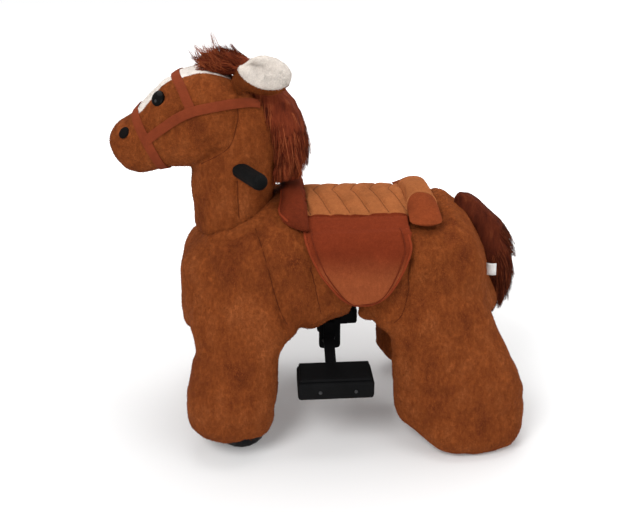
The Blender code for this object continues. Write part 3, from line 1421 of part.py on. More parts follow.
def bracket_outline():
    r = BRACKET_CORNER_R
    left, right = BRACKET_FRONT_X, BRACKET_FRONT_X + BRACKET_LENGTH
    low, high = BRACKET_BOTTOM_Z, BRACKET_BOTTOM_Z + BRACKET_HEIGHT
    quarter = math.pi / 2
    return (
        [(right, high), (left, high)]
        + arc((left + r, low + r), r, 2 * quarter, 3 * quarter)
        + arc((right - r, low + r), r, 3 * quarter, 4 * quarter)
    )


def thick_line(points, thickness):
    """The outline of a bent flat bar, seen from its edge."""
    left, right = [], []
    for i, point in enumerate(points):
        before = Vector(points[max(i - 1, 0)])
        after = Vector(points[min(i + 1, len(points) - 1)])
        along = (after - before).normalized()
        side = Vector((-along.y, along.x)) * thickness / 2
        left.append(tuple(Vector(point) + side))
        right.append(tuple(Vector(point) - side))
    return left + right[::-1]


def build_stirrups():
    for side, sign in SIDES:
        start = HUB_OUT + GAP
        end = start + BRACKET_PLATE
        near, far = sorted((sign * start, sign * end))
        arm = home(outline(bracket_outline(), near, far), HUB, "stirrup_arm_" + side, "frame")
        arm_y = start + BRACKET_PLATE / 2 + STIRRUP_ARM_THICK / 2
        tip_y = PEDAL_INNER_Y - GAP
        run = tip_y - arm_y
        fall = STIRRUP_ARM_BEND_Z - STIRRUP_ARM_END_Z
        path = [
            (arm_y, STIRRUP_ARM_TOP_Z),
            (arm_y, STIRRUP_ARM_BEND_Z),
            (arm_y + run * 0.10, STIRRUP_ARM_BEND_Z - fall * 0.20),
            (arm_y + run * 0.80, STIRRUP_ARM_END_Z + fall * 0.10),
            (arm_y + run * 0.90, STIRRUP_ARM_END_Z),
            (tip_y, STIRRUP_ARM_END_Z),
        ]
        points = [(sign * y, z) for y, z in thick_line(path, STIRRUP_ARM_THICK)]
        half = STIRRUP_ARM_WIDTH / 2
        fuse(arm, HUB, outline(points, STIRRUP_ARM_X - half, STIRRUP_ARM_X + half, "X"))
        outer = PEDAL_INNER_Y + PEDAL_DEPTH
        low, high = sorted((sign * PEDAL_INNER_Y, sign * outer))
        base = block(
            (PEDAL_FRONT_X, low, PEDAL_BOTTOM_Z),
            (PEDAL_FRONT_X + PEDAL_LENGTH, high, PEDAL_BOTTOM_Z + PEDAL_HEIGHT),
            PEDAL_CORNER,
        )
        home(base, HUB, "stirrup_base_" + side, "rubber")
        top = PEDAL_BOTTOM_Z + PEDAL_HEIGHT + GAP
        tread = block(
            (PEDAL_FRONT_X + TREAD_INSET, low + TREAD_INSET, top),
            (PEDAL_FRONT_X + PEDAL_LENGTH - TREAD_INSET, high - TREAD_INSET, top + TREAD_THICK),
            TREAD_BEVEL,
        )
        home(tread, HUB, "stirrup_tread_" + side, "rubber")


def stand_on_origin():
    """Moves the toy so that the middle of its outer box is over the origin."""
    bpy.context.view_layer.update()
    sees = bpy.context.evaluated_depsgraph_get()
    low, high = math.inf, -math.inf
    for item in toy.objects:
        seen = item.evaluated_get(sees)
        for vert in seen.data.vertices:
            x = (seen.matrix_world @ vert.co).x
            low, high = min(low, x), max(high, x)
    ORIGIN.location.x = -(low + high) / 2
    bpy.context.view_layer.update()


build_hub()
build_front_frame()
build_rear_frame()
build_forks()
build_sync_link()
build_tie_rod()
build_steering()
build_saddle()
build_stirrups()
build_front_body()
build_rear_body()
build_front_legs()
build_rear_legs()
build_neck_and_head()
build_hair()
build_bridle()
stand_on_origin()
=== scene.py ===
"""The plush ride-on horse, dressed: pile, long hair, quilted saddle, bridle and fittings."""

import math

import bmesh
import bpy
import numpy as np
from mathutils import Matrix, Vector, noise
from mathutils.bvhtree import BVHTree


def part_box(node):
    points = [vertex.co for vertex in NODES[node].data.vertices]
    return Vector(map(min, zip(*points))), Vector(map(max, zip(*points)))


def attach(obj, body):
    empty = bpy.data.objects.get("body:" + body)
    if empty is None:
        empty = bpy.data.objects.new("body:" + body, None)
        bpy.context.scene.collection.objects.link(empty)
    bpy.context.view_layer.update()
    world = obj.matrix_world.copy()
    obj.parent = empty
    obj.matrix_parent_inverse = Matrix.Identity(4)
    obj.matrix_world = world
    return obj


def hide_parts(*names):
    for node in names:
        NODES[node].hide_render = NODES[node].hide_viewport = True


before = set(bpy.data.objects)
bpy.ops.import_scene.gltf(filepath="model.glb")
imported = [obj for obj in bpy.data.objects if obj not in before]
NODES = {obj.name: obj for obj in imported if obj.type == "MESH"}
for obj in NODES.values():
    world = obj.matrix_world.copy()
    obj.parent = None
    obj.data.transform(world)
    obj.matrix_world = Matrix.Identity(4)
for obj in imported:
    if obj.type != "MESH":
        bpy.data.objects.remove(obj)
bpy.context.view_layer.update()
CENTRE_X = 0.022  # the middle of the hub, ahead of the toy's middle
SIDES = (("left", -1), ("right", 1))


def metres(table):
    """A nested table of millimetres in metres."""
    return tuple(metres(row) if isinstance(row, tuple) else row / 1000 for row in table)


def given(item, **values):
    """Sets the item's own values, and gives it back."""
    for key, value in values.items():
        setattr(item, key, value)
    return item


# Colours, linear
CINNAMON = (0.205, 0.05, 0.0115)
CINNAMON_DARK = (0.125, 0.027, 0.007)
CINNAMON_LIGHT = (0.265, 0.074, 0.021)
HAIR_TONES = ((0.075, 0.012, 0.005), (0.165, 0.029, 0.01), (0.31, 0.074, 0.026))  # dark, middle and light
TAIL_SHARE = 0.55  # how dark the tail is beside the mane
RUST = (0.17, 0.027, 0.0085)
TAN = (0.315, 0.102, 0.033)
CREAM = (0.86, 0.8, 0.74)
STRAP = (0.195, 0.037, 0.013)


# Materials

class Nodes:
    """A node tree with short ways to add nodes and links."""

    def __init__(self, owner):
        owner.use_nodes = True
        self.tree = owner.node_tree

    def add(self, kind, **values):
        return given(self.tree.nodes.new(kind), **values)

    def link(self, source, target):
        self.tree.links.new(source, target)

    def feed(self, node, values):
        """Sets a node's inputs to constants or colours, or links them to other sockets."""
        for key, value in values.items():
            if isinstance(value, bpy.types.NodeSocket):
                self.link(value, node.inputs[key])
            else:
                node.inputs[key].default_value = (*value, 1) if isinstance(value, tuple) else value

    def maths(self, kind, *values):
        made = self.add("ShaderNodeMath", operation=kind)
        self.feed(made, dict(enumerate(values)))
        return made.outputs[0]


class Look(Nodes):
    """A material whose textures follow the object's own coordinates."""

    def __init__(self, name):
        self.material = bpy.data.materials.new(name)
        super().__init__(self.material)
        self.shader = self.tree.nodes["Principled BSDF"]
        self.place = self.add("ShaderNodeTexCoord").outputs["Object"]

    def set(self, **values):
        """Sets the shader's own sockets."""
        self.feed(self.shader, {key.replace("_", " "): value for key, value in values.items()})
        return self.material

    def base(self, colour):
        self.colour = colour
        self.link(colour, self.shader.inputs["Base Color"])

    def noise(self, scale, detail=4, rough=0.6, stretch=(1, 1, 1)):
        mapping = self.add("ShaderNodeMapping")
        mapping.inputs["Scale"].default_value = stretch
        made = self.add("ShaderNodeTexNoise")
        self.link(self.place, mapping.inputs["Vector"])
        self.link(mapping.outputs["Vector"], made.inputs["Vector"])
        self.feed(made, {"Scale": scale, "Detail": detail, "Roughness": rough})
        return made.outputs["Fac"]

    def xyz(self):
        made = self.add("ShaderNodeSeparateXYZ")
        self.link(self.place, made.inputs[0])
        return made.outputs

    def ramp(self, factor, stops):
        made = self.add("ShaderNodeValToRGB")
        ramp = made.color_ramp
        while len(ramp.elements) < len(stops):
            ramp.elements.new(0.5)
        for element, (place, colour) in zip(ramp.elements, stops):
            element.position = place
            element.color = (*colour, 1)
        self.link(factor, made.inputs["Fac"])
        return made.outputs["Color"]

    def shades(self, factor, colour, dark, light):
        return self.ramp(factor, ((0.3, scaled(colour, dark)), (0.7, scaled(colour, light))))

    def mix(self, factor, a, b, kind="MIX"):
        made = self.add("ShaderNodeMix", data_type="RGBA", blend_type=kind)
        self.feed(made, {0: factor, 6: a, 7: b})  # its sockets for colours
        return made.outputs[2]

    def smooth(self, value, low, high, kind="SMOOTHSTEP"):
        made = self.add("ShaderNodeMapRange", interpolation_type=kind)
        self.feed(made, {"Value": value, "From Min": low, "From Max": high})
        return made.outputs["Result"]

    def bump(self, height, strength, distance):
        made = self.add("ShaderNodeBump")
        self.feed(made, {"Strength": strength, "Distance": distance, "Height": height})
        self.link(made.outputs["Normal"], self.shader.inputs["Normal"])


def scaled(colour, share):
    return tuple(min(channel * share, 1) for channel in colour)


def plush(name, tones, pile_scale=430, blotch=11, strength=0.5, distance=0.004, sheen=0.1, clumps=0.8):
    """Short pile: soft streaks where the nap turns, and a fine grain."""
    light, middle, dark = tones
    m = Look(name)
    nap = m.noise(blotch, 6, 0.55)
    streaks = m.noise(38, 4, 0.6, (1, 1, 0.45))
    turned = m.maths("MULTIPLY_ADD", streaks, 0.4, m.maths("MULTIPLY", nap, 0.6))
    colour = m.ramp(turned, ((0.36, dark), (0.5, middle), (0.66, light)))
    grain = m.noise(pile_scale, 3, 0.7)
    fine = m.ramp(grain, ((0.25, (0.62, 0.56, 0.52)), (0.75, (1.12, 1.12, 1.1))))
    # Tufts: a random tone, with lighter tops as painted highlights and darker gaps between them as painted
    # shade, following the tufts' bumps
    clump = m.noise(pile_scale * 0.34, 2, 0.6, (1, 1, 0.6))
    tuft_tone_and_highlight = m.ramp(clump, ((0.32, (0.8, 0.75, 0.72)), (0.5, (1, 1, 1)), (0.7, (1.38, 1.42, 1.44))))
    colour = m.mix(clumps, colour, tuft_tone_and_highlight, "MULTIPLY")
    m.base(m.mix(0.7, colour, fine, "MULTIPLY"))
    height = m.maths("MULTIPLY_ADD", streaks, 0.7, m.maths("MULTIPLY", grain, 0.4))
    height = m.maths("MULTIPLY_ADD", clump, clumps, height)
    m.bump(height, strength, distance)
    m.set(Roughness=0.95, Sheen_Weight=sheen, Sheen_Roughness=0.6, Specular_IOR_Level=0.08)
    m.set(Sheen_Tint=scaled(light, 2.2))
    return m


def tones(colour, low, high):
    return scaled(colour, high), colour, scaled(colour, low)


def short_plush(name, colour, spread=0.2, sheen=0.12):
    """The saddle's pile: shorter and more even than the body's."""
    return plush(name, tones(colour, 1 - spread, 1 + spread), 520, 18, 0.35, 0.0015, sheen, 0.3)


BLAZE = metres((  # along the head, half the pale strip's width
    (-350, 26), (-340, 41), (-331, 40), (-319, 36), (-302, 31), (-284, 31),
    (-262, 37), (-246, 38), (-219, 37), (-193, 32), (-176, 16),
))
BLAZE_LOW_Z = 0.668
BLAZE_INSET = 0.002  # how far the pale tufts stay inside the strip
BLAZE_SCALE = 0.05  # the half width that a curve value of 1 stands for


def blaze_plush(name):
    """The head's pile, with a pale strip along the forehead and nose."""
    m = plush(name, (CINNAMON_LIGHT, CINNAMON, CINNAMON_DARK))
    x, y, z = m.xyz()
    across = m.maths("ABSOLUTE", y)
    ragged = m.maths("MULTIPLY_ADD", m.noise(240, 3), 0.007, -0.0035)
    curve = m.add("ShaderNodeFloatCurve")
    start, end = BLAZE[0][0], BLAZE[-1][0]
    points = [((at - start) / (end - start), half / BLAZE_SCALE) for at, half in BLAZE]
    line = curve.mapping.curves[0]
    while len(line.points) < len(points):
        line.points.new(0.5, 0.5)
    for point, place in zip(line.points, points):
        point.location = place
    curve.mapping.update()
    m.link(m.smooth(x, start, end, "LINEAR"), curve.inputs["Value"])
    half = m.maths("MULTIPLY", curve.outputs[0], BLAZE_SCALE)
    edge = m.maths("SUBTRACT", m.maths("ADD", across, ragged), half)
    inside = m.smooth(edge, 0.0012, -0.0012)
    ahead = m.smooth(x, start - 0.002, start + 0.002)
    behind = m.smooth(x, end + 0.004, end - 0.004)
    up = m.smooth(z, BLAZE_LOW_Z - 0.004, BLAZE_LOW_Z + 0.004)
    mask = m.maths("MULTIPLY", m.maths("MULTIPLY", inside, ahead), m.maths("MULTIPLY", up, behind))
    pale = m.mix(m.noise(60), scaled(CREAM, 0.76), scaled(CREAM, 0.94))
    m.base(m.mix(mask, m.colour, pale))
    return m.material


def on_blaze(points):
    xs, halves = zip(*BLAZE)
    x, y, z = points.T
    half = np.interp(x, xs, halves) - BLAZE_INSET
    return (x > xs[0]) & (x < xs[-1]) & (z > BLAZE_LOW_Z) & (np.abs(y) < half)


def flap_plush(name):
    """The flap's pile is darker at the top and lighter below."""
    m = short_plush(name, RUST, 0.1)
    low = m.smooth(m.maths("MULTIPLY_ADD", m.noise(16, 3), 0.02, m.xyz()[2]), 0.455, 0.385)
    m.base(m.mix(low, m.colour, m.mix(1, m.colour, (1.62, 2.5, 2.7), "MULTIPLY")))
    return m.material


def hair_base(name, share=1):
    m = Look(name)
    strands = m.noise(70, 6, 0.7, (1, 1, 0.16))
    m.base(m.ramp(strands, [(at, scaled(tone, share)) for at, tone in zip((0.3, 0.55, 0.78), HAIR_TONES)]))
    m.bump(strands, 1, 0.006)
    return m.set(Roughness=0.85, Specular_IOR_Level=0.08)


def strand(name, colour, roughness=0.75):
    """A strand's tone: darker and lighter along the coat."""
    m = Look(name)
    m.base(m.shades(m.noise(35, 3), colour, 0.7, 1.25))
    return m.set(Roughness=roughness, Specular_IOR_Level=0.06)


def woven(name, colour):
    m = Look(name)
    weave = m.noise(900, 2)
    m.base(m.mix(0.5, m.shades(m.noise(45, 4), colour, 0.75, 1.2), m.shades(weave, colour, 0.7, 1.15)))
    m.bump(weave, 0.4, 0.0008)
    return m.set(Roughness=0.85, Specular_IOR_Level=0.08)


def plastic(name, colour, roughness, grain=600, bump=0.12, metallic=0, gloss=0.3):
    m = Look(name)
    m.base(m.shades(m.noise(22, 4), colour, 0.8, 1.25))
    m.bump(m.noise(grain, 3), bump, 0.0006)
    return m.set(Roughness=roughness, Metallic=metallic, Specular_IOR_Level=gloss)


def studio_floor(name):
    """A pale floor that keeps the toy's shadow and fades to plain white away from it."""
    m = Look(name)
    far = m.add("ShaderNodeVectorMath", operation="LENGTH")
    m.link(m.place, far.inputs[0])
    glow = m.maths("MULTIPLY_ADD", m.smooth(far.outputs["Value"], 0.35, 1.5), 0.75, 0.1)
    seen = m.add("ShaderNodeLightPath").outputs["Is Camera Ray"]
    m.set(Emission_Strength=m.maths("MULTIPLY", glow, seen), Emission_Color=(1, 1, 1))
    return m.set(Base_Color=(0.84, 0.84, 0.84), Roughness=0.95, Specular_IOR_Level=0.05)


BODY_PLUSH = plush("body_plush", (CINNAMON_LIGHT, CINNAMON, CINNAMON_DARK)).material
HEAD_PLUSH = blaze_plush("head_plush")
FLAP_PLUSH = flap_plush("flap_plush")
SEAT_PLUSH = short_plush("seat_plush", TAN).material
END_PLUSH = short_plush("end_plush", (0.206, 0.042, 0.012), sheen=0.1).material
POMMEL_PLUSH = short_plush("pommel_plush", (0.128, 0.021, 0.0068), sheen=0.1).material
EAR_CREAM = plush("ear_cream", tones(scaled(CREAM, 0.93), 0.98, 1.03), 400, 30, 0.12, 0.001, 0.05, 0).material
HAIR = hair_base("hair_base")
TAIL_HAIR = hair_base("tail_base", TAIL_SHARE)
HAIR_STRANDS, TAIL_STRANDS = (
    [strand(start + end, scaled(tone, share)) for end, tone in zip(("dark", "mid", "light"), HAIR_TONES)]
    for start, share in (("hair_", 1), ("tail_", TAIL_SHARE))
)
PILE_STRANDS = [
    strand("pile_" + end, scaled(CINNAMON, share), 0.95)
    for end, share in (("dark", 0.78), ("mid", 1), ("light", 1.28))
]
CREAM_STRANDS = [strand("pile_cream", scaled(CREAM, 0.88), 0.9)]
STRAP_CLOTH = woven("strap_cloth", STRAP)
PIPING = woven("piping", scaled(TAN, 1.05))
PIPING_RUST = woven("piping_rust", scaled(RUST, 1.35))
THREAD = woven("thread", scaled(RUST, 0.8))
# Quilting thread, darkened as painted shade in the seat's channels
SEAT_THREAD_AND_SHADE = woven("seat_thread_and_shade", scaled(TAN, 0.55))
# Stitching along the seams, darkened as painted shade in the seam grooves
SEAM = woven("seam_thread_and_shade", scaled(CINNAMON_DARK, 0.8))
BLACK_RUBBER = plastic("black_rubber", (0.006, 0.006, 0.006), 0.55, gloss=0.03)
BLACK_PLASTIC = plastic("black_plastic", (0.0055, 0.0055, 0.0058), 0.5, gloss=0.03)
BLACK_PAINT = plastic("black_paint", (0.0055, 0.0055, 0.006), 0.5, 900, 0.08, gloss=0.03)
SCREW_STEEL = plastic("screw_steel", (0.2, 0.2, 0.21), 0.35, 900, 0.05, 0.9)
DARK_SCREW = plastic("dark_screw", (0.045, 0.045, 0.047), 0.35, 900, 0.05, 0.6)
# Painted shade: a very dark brown for the sheet in the shadowed gap between the halves
BELLY_GAP_SHADE = woven("belly_gap_shade_cloth", scaled(CINNAMON_DARK, 0.55))
EYE_GLOSS = plastic("eye_gloss", (0.004, 0.0035, 0.0035), 0.06, 60, 0, gloss=0.05)
NOSE_BLACK = plastic("nose_black", (0.005, 0.004, 0.004), 0.6, gloss=0.03)
BOARD = plastic("board", (0.36, 0.24, 0.13), 0.7)
FLOOR = studio_floor("floor")
WHEEL = plastic("wheel_plastic", (0.012, 0.012, 0.013), 0.45)
TAG = woven("blank_tag", (0.78, 0.77, 0.75))


# Meshes

def linked(obj):
    bpy.context.scene.collection.objects.link(obj)
    return obj


def put(obj, body, *looks):
    """Gives the object its looks and its body."""
    for look in looks:
        obj.data.materials.append(look)
    if obj.name not in bpy.context.scene.collection.objects:
        linked(obj)
    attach(obj, body)
    return obj


def stuffed(obj, nodes, body, fill, *looks):
    """Puts a padded piece in the place of these nodes."""
    put(obj, body, *looks)
    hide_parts(*nodes)


def rounded(mesh):
    mesh.polygons.foreach_set("use_smooth", [True] * len(mesh.polygons))


def mesh_object(name, verts, faces, tones=None):
    mesh = bpy.data.meshes.new(name)
    mesh.from_pydata([tuple(v) for v in verts], [], [tuple(f) for f in faces])
    if tones is not None:
        mesh.polygons.foreach_set("material_index", np.asarray(tones, dtype=np.int32))
    mesh.update()
    return linked(bpy.data.objects.new(name, mesh))


def made_of(work, name):
    mesh = bpy.data.meshes.new(name)
    work.to_mesh(mesh)
    work.free()
    return bpy.data.objects.new(name, mesh)


def grid(rows, columns, closed=False):
    """Quads between rows of points; closed joins the last row to the first."""
    faces = []
    for i in range(rows if closed else rows - 1):
        for j in range(columns - 1):
            a, b = i * columns + j, (i + 1) % rows * columns + j
            faces.append((a, a + 1, b + 1, b))
    return faces


def settle(obj):
    """Applies the object's modifiers."""
    bpy.context.view_layer.update()
    seen = obj.evaluated_get(bpy.context.evaluated_depsgraph_get())
    mesh = bpy.data.meshes.new_from_object(seen)
    old = obj.data
    obj.modifiers.clear()
    obj.data = mesh
    bpy.data.meshes.remove(old)
    return obj


def modify(obj, kind, **values):
    return given(obj.modifiers.new(kind.lower(), kind), **values)


def thickened(obj, thickness, offset=0, bevel=0):
    modify(obj, "SOLIDIFY", thickness=thickness, offset=offset)
    if bevel:
        modify(obj, "BEVEL", width=bevel, segments=2)
    rounded(settle(obj).data)
    return obj


def skin(name, nodes, voxel, smooth):
    """One closed, smoothed mesh around the CAD solids of these nodes."""
    work = bmesh.new()
    for node in nodes:
        work.from_mesh(NODES[node].data)
    obj = linked(made_of(work, name))
    modify(obj, "REMESH", mode="VOXEL", voxel_size=voxel, use_smooth_shade=True)
    modify(obj, "SMOOTH", factor=0.6, iterations=smooth)
    return settle(obj)


def triples(items, key, kind):
    values = np.empty(len(items) * 3, kind)
    items.foreach_get(key, values)
    return values.reshape(-1, 3)


def coordinates(obj):
    """A mesh's points and normals."""
    mesh = obj.data
    normals = triples(mesh.vertex_normals, "vector", np.float32)
    return triples(mesh.vertices, "co", np.float64), normals.astype(np.float64)


def move(obj, verts):
    obj.data.vertices.foreach_set("co", np.ascontiguousarray(verts, dtype=np.float32).ravel())
    obj.data.update()


def eased(share):
    share = np.clip(share, 0, 1)
    return share * share * (3 - 2 * share)


def rise(value, edge, width):
    """0 on one side of the edge, 1 beyond the width; a negative width goes down."""
    return eased((value - edge) / width)


def hump(value, centre, width):
    return np.exp(-(((value - centre) / width) ** 2))


def noisy(verts, scale, seed):
    return np.array([noise.noise(Vector(v) * scale + Vector((seed, seed * 0.7, -seed))) for v in verts])


def rumple(obj, amount, scale, seed, lift=0):
    """Soft hills and hollows along the normals."""
    verts, normals = coordinates(obj)
    verts += normals * (lift + amount * noisy(verts, scale, seed))[:, None]
    move(obj, verts)


def groove(obj, lines, depth, width):
    """Presses seams into a skin along lines, on both sides of the toy."""
    verts, normals = coordinates(obj)
    near = np.full(len(verts), np.inf)
    for line in lines:
        for sign in (1, -1):
            points = np.array(line) * (1, sign, 1)
            for a, b in zip(points, points[1:]):
                along = b - a
                share = np.clip(((verts - a) @ along) / (along @ along), 0, 1)
                near = np.minimum(near, np.linalg.norm(verts - a - share[:, None] * along, axis=1))
    verts -= normals * (depth * hump(near, 0, width))[:, None]
    move(obj, verts)


PRESSURE, FRAMES = 4, 20  # of the cloth that blows the saddle's pieces up


def inflate(obj, cap):
    """Blows a sewn cover up a little with cloth, then keeps the shape it took, within a cap."""
    scene = bpy.context.scene
    before, _ = coordinates(obj)
    cloth = modify(obj, "CLOTH")
    given(cloth.settings, quality=5, use_pressure=True, uniform_pressure_force=PRESSURE)
    cloth.settings.effector_weights.gravity = 0
    cloth.point_cache.frame_start = 1
    cloth.point_cache.frame_end = FRAMES
    for step in range(1, FRAMES + 1):
        scene.frame_set(step)
    settle(obj)
    scene.frame_set(1)
    after, _ = coordinates(obj)
    moved = after - before
    long = np.linalg.norm(moved, axis=1)
    verts = before + moved * np.minimum(1, cap / np.maximum(long, 1e-9))[:, None]
    move(obj, verts)
    rounded(obj.data)


def clear_of(nodes, distance):
    """A test that leaves out the places nearer than this to any of the nodes."""
    trees = []
    for node in nodes:
        mesh = NODES[node].data
        trees.append(BVHTree.FromPolygons([v.co for v in mesh.vertices], [p.vertices for p in mesh.polygons]))

    def test(points, outward):
        return np.array([
            all(tree.find_nearest(Vector(point), distance)[0] is None for tree in trees) for point in points
        ], bool)

    return test


def sampled(obj, count, seed, tests):
    """Random places on a mesh that pass all tests: points and normals."""
    mesh = obj.data
    mesh.calc_loop_triangles()
    tris = triples(mesh.loop_triangles, "vertices", np.int32)
    verts, normals = coordinates(obj)
    a, b, c = verts[tris[:, 0]], verts[tris[:, 1]], verts[tris[:, 2]]
    area = np.linalg.norm(np.cross(b - a, c - a), axis=1)
    rng = np.random.default_rng(seed)
    chosen = rng.choice(len(tris), count, p=area / area.sum())
    u, v = rng.random(count), rng.random(count)
    flip = u + v > 1
    u[flip], v[flip] = 1 - u[flip], 1 - v[flip]
    corners = tris[chosen]
    points, outward = (
        sum(values[corners[:, k]] * share[:, None] for k, share in enumerate((1 - u - v, u, v)))
        for values in (verts, normals)
    )
    outward /= np.linalg.norm(outward, axis=1)[:, None] + 1e-9
    for test in tests:
        kept = test(points, outward)
        points, outward = points[kept], outward[kept]
    return points, outward, rng


def unit(vectors):
    return vectors / (np.linalg.norm(vectors, axis=1)[:, None] + 1e-9)


def softened(values, rounds, closed=False):
    """Each point moved towards its neighbours; the ends of an open line stay."""
    for _ in range(rounds):
        if closed:
            values = (np.roll(values, 1, 0) + values * 2 + np.roll(values, -1, 0)) / 4
        else:
            values[1:-1] = (values[:-2] + values[1:-1] * 2 + values[2:]) / 4
    return values


def between(rows, place):
    """A soft curve through the rows, at a place counted in rows."""
    last = len(rows) - 1
    place = min(max(place, 0), last)
    i = min(int(place), last - 1)
    t = place - i
    four = [rows[min(max(k, 0), last)] for k in (i - 1, i, i + 1, i + 2)]
    return [
        0.5 * (2 * b + (c - a) * t + (2 * a - 5 * b + 4 * c - d) * t**2 + (3 * b - a - 3 * c + d) * t**3)
        for a, b, c, d in zip(*four)
    ]


def smoothed(points, count):
    """Points spread evenly along a soft line through the given ones."""
    points = np.array(points, float)
    steps = np.concatenate([[0], np.cumsum(np.linalg.norm(np.diff(points, axis=0), axis=1))])
    rows = [tuple(p) for p in points]
    made = []
    for at in np.linspace(0, steps[-1], count):
        place = np.interp(at, steps, np.arange(len(points)))
        made.append(between(rows, float(place)))
    return np.array(made)


PILE_SHARES = (0.3, 0.45, 0.25)  # of dark, middle and light strands
ROOT_DEPTH = 0.0006


def pile(name, obj, body, looks, count, length, width, comb, lean, seed, tests):
    """Short tufts on a skin, each one triangle, leaning the way the nap is combed."""
    points, outward, rng = sampled(obj, count, seed, tests)
    n = len(points)
    turn = np.array(comb)[None, :] + rng.normal(0, 0.45, (n, 3))
    nap = unit(turn - outward * np.sum(turn * outward, axis=1)[:, None])
    long = length * rng.uniform(0.6, 1.25, n)[:, None]
    tip = points + (outward * (1 - lean) + nap * lean) * long
    side = unit(np.cross(nap, outward)) * width / 2
    root = points - outward * ROOT_DEPTH
    verts = np.stack([root - side, root + side, tip], axis=1).reshape(-1, 3)
    shares = PILE_SHARES if len(looks) > 1 else (1,)
    tones = rng.choice(len(shares), n, p=np.array(shares) / sum(shares))
    put(mesh_object(name, verts, np.arange(n * 3).reshape(-1, 3), tones), body, *looks)


LOCK_STEPS = 6  # along each strand
HAIR_WIDTH = 0.0013
WAVE = 0.0016
LOCK_ROOT_DEPTH = 0.002


def locks(
    name, obj, body, looks, count, length, flow, seed, curl, shares, tufts, tests=(), scale=None, gather=0.75
):
    """Long tapered strands. flow(points, outward) gives each one's direction at its root and at its tip.

    The first strands, as many as tufts says, draw the others to their tips, which makes pointed locks.
    """
    points, outward, rng = sampled(obj, count, seed, tests)
    n = len(points)
    start, end = flow(points, outward)
    start = unit(start + rng.normal(0, curl, (n, 3)))
    end = unit(end + rng.normal(0, curl, (n, 3)))
    long = length * rng.uniform(0.5, 1.2, n)
    if scale:
        long *= scale(points)
    wave = rng.uniform(0, 2 * math.pi, n)
    side0 = unit(np.cross(start, rng.normal(0, 1, (n, 3))))
    rows = []
    leaders = points[:tufts]
    leader = np.array([np.argmin(np.sum((leaders - point) ** 2, axis=1)) for point in points])
    free = points - outward * LOCK_ROOT_DEPTH
    for i in range(LOCK_STEPS + 1):
        share = i / LOCK_STEPS
        way = unit(start * (1 - share) + end * share)
        if i:
            free = free + way * (long / LOCK_STEPS)[:, None]
            free = free + side0 * (np.sin(wave + share * 7) * WAVE)[:, None]
        place = free + (free[leader] - free) * gather * share
        half = HAIR_WIDTH / 2 * (1 - share) ** 0.7
        across = unit(np.cross(way, outward + side0 * 0.4))
        if i < LOCK_STEPS:
            rows.append(np.stack([place - across * half, place + across * half], axis=1))
        else:
            rows.append(place[:, None, :])
    verts = np.concatenate(rows, axis=1)
    pattern = []
    for a in range(0, 2 * LOCK_STEPS - 2, 2):
        pattern += [(a, a + 1, a + 3), (a, a + 3, a + 2)]
    pattern.append((a + 2, a + 3, a + 4))
    pattern = np.array(pattern)
    faces = (np.arange(n)[:, None, None] * (2 * LOCK_STEPS + 1) + pattern[None]).reshape(-1, 3)
    tones = np.repeat(rng.choice(len(shares), n, p=np.array(shares) / sum(shares)), len(pattern))
    put(mesh_object(name, verts.reshape(-1, 3), faces, tones), body, *looks)


def tube(name, lines, radius, body, look, cyclic=False):
    curve = given(
        bpy.data.curves.new(name, "CURVE"),
        dimensions="3D", bevel_depth=radius, bevel_resolution=2, use_fill_caps=True,
    )
    for points in lines:
        line = curve.splines.new("POLY")
        line.points.add(len(points) - 1)
        for point, place in zip(line.points, points):
            point.co = (*place, 1)
        line.use_cyclic_u = cyclic
    shape = linked(bpy.data.objects.new(name, curve))
    bpy.context.view_layer.update()
    mesh = bpy.data.meshes.new_from_object(shape.evaluated_get(bpy.context.evaluated_depsgraph_get()))
    bpy.data.objects.remove(shape)
    rounded(mesh)
    return put(bpy.data.objects.new(name, mesh), body, look)


# The stuffed body

FRONT_SEAMS = metres((
    ((-141, -103, 476), (-129, -134, 453), (-119, -151, 423), (-112, -154, 391),
     (-104, -154, 356), (-95, -153, 323), (-82, -156, 289)),
    ((-34, -155, 406), (-28, -151, 367), (-22, -145, 333), (-16, -137, 302)),
))
REAR_SEAMS = metres((
    ((151, -152, 420), (149, -154, 368), (147, -152, 335), (139, -160, 308),
     (125, -156, 288)),
))
FRONT_FOLDS = metres((
    ((-239.6, -35, 437.5), (-218.3, -93.2, 448.3), (-184.3, -108.1, 457.7), (-164.3, -108.4, 465.3),
     (-140.5, -101.1, 477.9), (-116.5, -84.6, 493.1)),
    ((-235, -105, 425), (-215, -135, 385), (-205, -148, 345)),
    ((-185, -120, 440), (-170, -146, 400), (-162, -152, 360)),
    ((-270, -150, 255), (-220, -185, 248), (-160, -195, 240), (-110, -185, 250)),
))
REAR_FOLDS = metres((
    ((180, -165, 300), (225, -180, 262), (285, -188, 245), (335, -180, 240)),
    ((215, -140, 440), (240, -155, 390), (250, -165, 340)),
))
HEAD_SEAMS = metres((
    ((-172, -20, 734), (-161, -44, 719), (-161, -69, 697), (-168, -73, 652),
     (-183, -75, 621), (-213, -66, 600), (-237, -53, 585)),
    ((-168.6, -77, 556), (-168, -78, 524), (-168, -80, 485)),
))
GRIP_ROOT = (-0.16, 0.08, 0.584)
NOSTRIL_X, NOSTRIL_Z, NOSTRIL_RADIUS = -0.3755, 0.6476, 0.013  # where no tufts grow
SOLE_Z = 0.004  # the sole is let down no lower than this
SADDLE_NODES = ["saddle_flap_left", "saddle_flap_right", "saddle_cushion", "pommel", "cantle"]
STITCH_RADIUS = 0.0008


